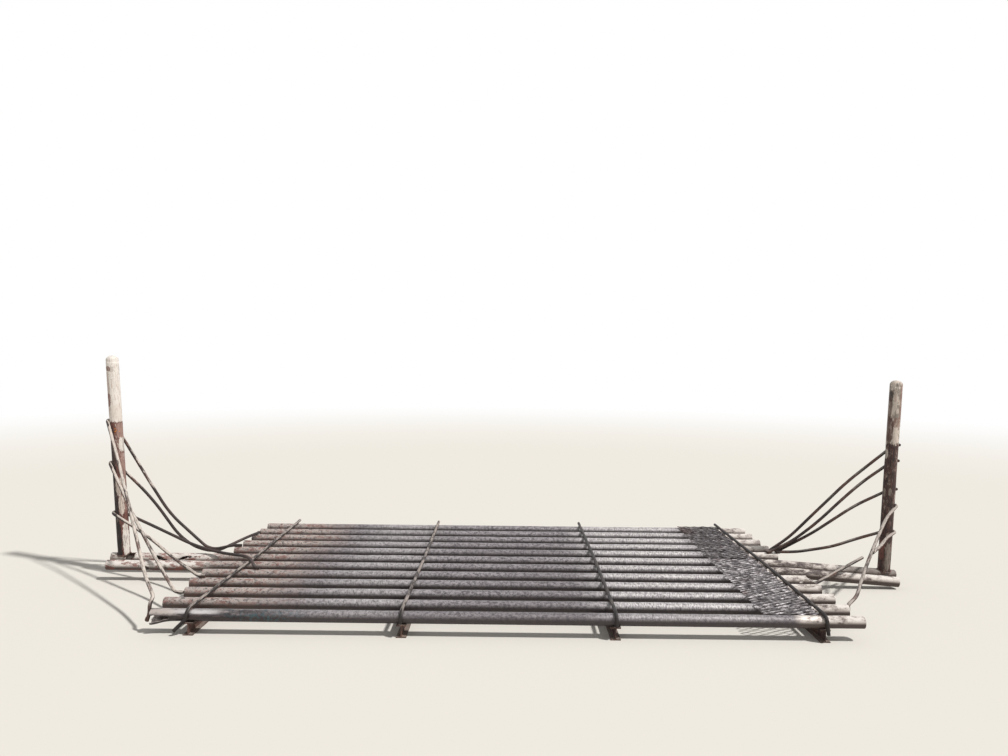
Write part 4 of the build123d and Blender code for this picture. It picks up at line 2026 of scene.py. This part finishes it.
@dataclass
class WingRods(RoundBars):
    """Bent round bars draped round the outer side of a post and welded to the rails' ends.

    Attributes:
        posts: The two posts.
        wrap_share: Share of the first run that the bend round a post takes.
        bend_share: Share of the shorter run that any other bend takes.
        loose: The bar that has come loose from the right post.
        loose_radius: Radius of its bend.
        steels: Steels of the front and back rods on the left and on the right.
    """

    posts: dict[Side, Post] = field(default_factory=dict)
    wrap_share: float = 0.95
    bend_share: float = 0.45
    loose: str = "right_wing_front_3"
    loose_radius: float = 120 * MM
    steels: dict[str, BarSteel] = field(default_factory=lambda: {
        "left_wing_*_front_*": BarSteel("wing_rod_steel"),
        "left_wing_*_back_*": BarSteel("left_back_rod_steel", dark_below=0.56),
        # Painted shade: the right rods take darker copies of the bar steel, the front ones half shaded and
        # the back ones darker still.
        "right_wing_front_*": BarSteel("right_rod_steel", pale=tone(176, 166, 158)),
        "right_wing_back_*": BarSteel("shaded_rod_steel", pale=tone(150, 141, 134), pale_share=0.78),
    })

    def table(self) -> dict[str, tuple[Side, float, list[Place], list[Place]]]:
        """Where each rod goes.

        Returns:
            For each node its side and the height at which it leaves the post. Then the places where it
            hangs free, as a share of the post's distance outside the rails' ends, rail number and share of
            that height. Then its seated places, as distance inwards from the rails' ends, rail number and
            height above the rails' tops. Lengths are in mm.
        """
        plan = self.plan
        rest = (plan.rod_radius + plan.seat_gap) / MM
        over_rod = 2 * rest + plan.rod_radius / MM
        radius, pitch, wall = plan.rail_radius / MM, plan.pitch / MM, plan.wall / MM
        beside = 28 - rest
        butt = 3 - (radius - wall) / pitch
        aside = 0.07
        near, far = 8 - aside, 8 + aside
        shoulder = math.sqrt((radius + rest) ** 2 - (aside * pitch) ** 2) - radius
        side_of_2 = 2 + 0.7 * radius / pitch
        left, right = Side.LEFT, Side.RIGHT
        return {
            "left_wing_upper_front": (
                left, 1010, [(0.89, 5.8, 0.738), (0.499, 3.9, 0.388), (0.169, 2.2, 0.117)],
                [(beside + 3, 1.2, 60), (beside, 1, 22), (beside, 1, -28), (0, 1, -2 * radius - 5)],
            ),
            "left_wing_upper_back": (
                left, 1010, [(0.79, 7.4, 0.515), (0.619, 7.6, 0.273), (0.394, 7.8, 0.092)],
                [(-187, 7.9, -24), (-15, 8, rest), (55, 8, rest)],
            ),
            "left_wing_middle_front": (
                left, 690, [(0.875, 6.1, 0.69), (0.574, 5, 0.394), (0.195, 3.65, 0.07)],
                [(0, butt, -0.65 * radius), (54.4, butt, -0.65 * radius)],
            ),
            "left_wing_middle_back": (
                left, 690, [(0.787, 7.45, 0.593), (0.555, 7.75, 0.158), (0.405, 7.9, 0)],
                [(-163, 8.1, -50), (25, 9.1, rest + 14), (45, 10.2, rest - 3)],
            ),
            "left_wing_lower_front": (
                left, 310, [(0.651, 6.1, 0.568), (0.247, 5.1, 0.155)],
                [(55, 4, rest), (100, 4, rest)],
            ),
            "left_wing_lower_back": (
                left, 310, [(0.774, 7.15, 0.694), (0.305, 7, 0.194)],
                [(-21, 6.8, rest + 6), (272, 5.85, over_rod + 9), (368, 5, rest), (400, 5, rest)],
            ),
            "right_wing_back_1": (
                right, 880,
                [(0.894, 7.2, 0.855), (0.649, 7.4, 0.663), (0.369, 7.65, 0.394), (0.115, 7.92, 0.142)],
                [(60, far, shoulder), (88, far, shoulder)],
            ),
            "right_wing_back_2": (
                right, 760,
                [(0.776, 7.2, 0.774), (0.577, 7.4, 0.567), (0.37, 7.6, 0.338), (0.136, 7.83, 0.129)],
                [(62, near, shoulder), (88, near, shoulder)],
            ),
            "right_wing_back_3": (
                right, 545, [(0.717, 7.25, 0.75), (0.511, 7.5, 0.514), (0.336, 7.72, 0.312)],
                [(-10, far, shoulder), (14, far, shoulder)],
            ),
            "right_wing_back_4": (
                right, 225, [(0.722, 7.2, 0.68), (0.516, 7.45, 0.356), (0.184, 7.8, 0.08)],
                [(-15, near, shoulder), (12, near, shoulder)],
            ),
            "right_wing_front_1": (
                right, 425,
                [(0.867, 6, 0.87), (0.583, 4.67, 0.588), (0.339, 3.5, 0.339), (0.122, 2.4, 0.056)],
                [(-rest, side_of_2, -8), (-rest, side_of_2, -50)],
            ),
            "right_wing_front_2": (
                right, 225, [(0.908, 6.2, 0.956), (0.732, 5.4, 0.853), (0.52, 4.37, 0.887)], [],
            ),
        }

    def spot(self, side: Side, place: Place) -> Vector:
        """Point near the rails' ends.

        Args:
            side: Side of the road.
            place: Distance inwards from the rails' ends, rail and height above the tops, in mm.

        Returns:
            The point.
        """
        plan = self.plan
        inwards, rail, height = place
        x = plan.end_x(side) - side.value * inwards * MM
        return Vector((x, plan.rail_y(rail), plan.top_z + height * MM))

    def route(self, side: Side, rise: float, free: list[Place], seated: list[Place]) -> Route:
        """Axis of a rod, from the outer side of its post.

        Args:
            side: Side of the road.
            rise: Height above the rails' tops at which it leaves the post, in mm.
            free: Places where it hangs free, as shares.
            seated: Places where it is seated.

        Returns:
            The axis.
        """
        post = self.posts[side]
        reach = post.diameter / 2 + self.plan.rod_radius + self.plan.seat_gap
        x, y = post.axis_x(rise * MM) + side.value * reach, self.plan.rail_y(post.rail)
        start = Vector((x, y, self.plan.top_z + rise * MM))
        places = [(-out * post.outside / MM, rail, up * rise) for out, rail, up in free] + seated
        points = [self.spot(side, place) for place in places]
        across = side.value * (points[0].x - start.x) + reach
        along = points[0].y - start.y
        turn = math.atan2(abs(along), across) - math.acos(reach / math.hypot(across, along))
        corner = start + Vector((0, math.copysign(reach * math.tan(turn / 2), along), 0))
        points = [start, corner, *points]
        radii = []
        for index, (before, bend, after) in enumerate(zip(points, points[1:], points[2:])):
            angle = (bend - before).angle(after - bend)
            shorter = min((bend - before).length, (after - bend).length)
            radii.append((self.bend_share if index else self.wrap_share) * shorter / math.tan(angle / 2))
        return Route.rounded(points, radii)

    def loose_route(self) -> Route:
        """Axis of the loose bar, which stands in rail 5's eaten end.

        Returns:
            The axis.
        """
        plan = self.plan
        bore_rest = (plan.wall + plan.rod_radius + plan.seat_gap - 2 * plan.rail_radius) / MM
        places = [(5, 5, bore_rest), (-50, 5, bore_rest), (-495, 6.2, 67)]
        return Route.rounded([self.spot(Side.RIGHT, place) for place in places], [self.loose_radius])

    def weld(self, name: str, route: Route, side: Side, seed: float) -> None:
        """Lays beads along the end of a rod and where it starts on its post.

        Args:
            name: The rod's node.
            route: Its axis.
            side: Side of the road.
            seed: Number that picks the lumps.
        """
        plan, end = self.plan, route.line[-1]
        rail = round((end.y - plan.first_y) / plan.pitch) + 1
        on_rail = abs(end.y - plan.rail_y(rail)) < plan.rail_radius

        def to_rail(place: Vector) -> Vector:
            """Direction to the rail's axis, or up to the rod that it hangs from."""
            return Vector((0, plan.rail_y(rail) - place.y, plan.axis_z - place.z)) if on_rail else UP

        def to_post(_place: Vector) -> Vector:
            """Direction to the post's axis."""
            return Vector((-side.value, 0, 0))

        bm = bmesh.new()
        tail = [route.length - back * MM for back in range(28, 0, -5)]
        head = [ahead * MM for ahead in range(3, 34, 6)]
        self.seam(bm, route, tail, to_rail, seed)
        self.seam(bm, route, head, to_post, seed + 1.5)
        self.add_welds(f"{name}_welds", bm, "wing_rod_steel")

    def build(self) -> None:
        """Makes the rods and their welds."""
        for index, (name, (side, rise, free, seated)) in enumerate(self.table().items()):
            route = self.route(side, rise, free, seated)
            self.bar(name, route, index * 2.7 + 1, "wing_rod_steel")
            self.weld(name, route, side, index * 1.3)
        self.bar(self.loose, self.loose_route(), 5.5, "wing_rod_steel")


@dataclass(frozen=True)
class Studio:
    """Pale floor that fades into a white background, and soft light from the right.

    Attributes:
        reach: Half the width of the floor.
        fade_from: Distance from the middle at which the floor starts to fade into white.
        fade_to: Distance at which it is white.
        floor: Colour of the floor.
        sun: Strength of the main light.
        sun_size: Apparent size of the main light, in degrees, which softens its shadows.
        sun_from: Direction towards the main light.
        sun_colour: Colour of the main light.
        sky: Strength of the light from all round.
    """

    reach: float = 60.0
    fade_from: float = 7.0
    fade_to: float = 20.0
    floor: Colour = tone(226, 222, 214)
    sun: float = 3.1
    sun_size: float = 3.5
    sun_from: tuple[float, float, float] = (0.62, -0.28, 0.9)
    sun_colour: tuple[float, float, float] = (1.0, 0.985, 0.965)
    sky: float = 0.36

    def light(self) -> None:
        """Sets the sun and the light from all round."""
        lamp = bpy.data.lights.new("studio_sun", "SUN")
        lamp.energy = self.sun
        lamp.angle = math.radians(self.sun_size)
        lamp.color = self.sun_colour
        sun = bpy.data.objects.new("studio_sun", lamp)
        sun.rotation_mode = "QUATERNION"
        sun.rotation_quaternion = Vector(self.sun_from).to_track_quat("Z", "Y")
        bpy.context.scene.collection.objects.link(sun)
        world = bpy.data.worlds.new("studio_sky")
        bpy.context.scene.world = world
        tree = Tree(world)
        strength = tree.level(self.seen(tree), self.sky, 1.0)
        back = tree.add("ShaderNodeBackground", Color=(1.0, 1.0, 1.0, 1.0), Strength=strength)
        tree.add("ShaderNodeOutputWorld", Surface=back.outputs["Background"])

    @staticmethod
    def seen(tree: Tree) -> Socket:
        """Mask of the rays that see the background: straight, in gloss or through glass.

        Args:
            tree: Tree that the mask is made in.

        Returns:
            The mask.
        """
        ray = tree.add("ShaderNodeLightPath").outputs
        mirrored = tree.either(ray["Is Glossy Ray"], ray["Is Transmission Ray"])
        return tree.either(ray["Is Camera Ray"], mirrored)

    def lay_floor(self) -> None:
        """Makes the floor, which turns into plain white far from the grid."""
        bm = bmesh.new()
        bmesh.ops.create_grid(bm, x_segments=1, y_segments=1, size=self.reach)
        mesh = finished_mesh("studio_floor", bm)
        floor = bpy.data.objects.new("studio_floor", mesh)
        bpy.context.scene.collection.objects.link(floor)
        r = Recipe("studio_floor")
        distance = r.nodes.new("ShaderNodeVectorMath")
        distance.operation = "LENGTH"
        r.feed(distance.inputs[0], r.place)
        far = r.rise(distance.outputs["Value"], self.fade_from, self.fade_to)
        matt = r.add("ShaderNodeBsdfDiffuse", Color=self.floor)
        white = r.add("ShaderNodeEmission", Color=(1.0, 1.0, 1.0, 1.0), Strength=1.0)
        mixed = r.add("ShaderNodeMixShader", Fac=r.both(far, self.seen(r)))
        r.links.new(matt.outputs[0], mixed.inputs[1])
        r.links.new(white.outputs[0], mixed.inputs[2])
        r.add("ShaderNodeOutputMaterial", Surface=mixed.outputs[0])
        mesh.materials.append(r.material)


@dataclass(frozen=True)
class Viewpoint:
    """The photograph's camera, worked out from the rails' edges and ends.

    Attributes:
        stand_off: Distance in front of rail 1's axis.
        offset: Place across the road from the rails' middle.
        height: Height above the rails' bottoms.
        yaw: Turn to the left, in degrees.
        pitch: Tilt upwards, in degrees.
        roll: Roll, in degrees.
        lens: Focal length, in mm.
        sensor: Width of the sensor, in mm.
        sight: Distance up to which it sees.
    """

    stand_off: float = 4.463
    offset: float = 0.013
    height: float = 1.598
    yaw: float = 0.351
    pitch: float = -1.679
    roll: float = -0.532
    lens: float = 27.04
    sensor: float = 36
    sight: float = 500

    def place(self, plan: Plan) -> None:
        """Makes the scene's camera.

        Args:
            plan: Shared places.
        """
        data = bpy.data.cameras.new("photo_camera")
        data.lens = self.lens
        data.sensor_width = self.sensor
        data.clip_end = self.sight
        camera = bpy.data.objects.new("photo_camera", data)
        bpy.context.scene.collection.objects.link(camera)
        eye = Vector((
            plan.middle_x + self.offset,
            plan.rail_y(1) - self.stand_off,
            plan.axis_z - plan.rail_radius + self.height,
        ))
        turns = [(self.yaw, "Z"), (self.pitch, "X"), (self.roll, "Y"), (90, "X")]
        matrix = Matrix.Translation(eye)
        for angle, axis in turns:
            matrix = matrix @ Matrix.Rotation(math.radians(angle), 4, axis)
        camera.matrix_world = matrix
        bpy.context.scene.camera = camera


def main() -> None:
    """Builds the sub-assemblies in order, dresses them and sets the studio and the camera."""
    logging.basicConfig(level=logging.INFO, format="%(message)s")
    bpy.context.scene.view_settings.view_transform = "Standard"
    plan = Plan.read()
    left = Post(plan, Side.LEFT, 770 * MM, 1500 * MM, 3.3, LEFT_PAINT)
    right = Post(plan, Side.RIGHT, 738 * MM, 1368 * MM, 2.5, SHADED_RIGHT_PAINT)
    groups = [
        RailBank(plan),
        Bearers(),
        TieRods(plan),
        Walkway(plan),
        left,
        right,
        WingRods(plan, posts={Side.LEFT: left, Side.RIGHT: right}),
    ]
    for group in groups:
        group.build()
        group.dress()
    studio = Studio()
    studio.light()
    studio.lay_floor()
    Viewpoint().place(plan)


if __name__ == "__main__":
    main()
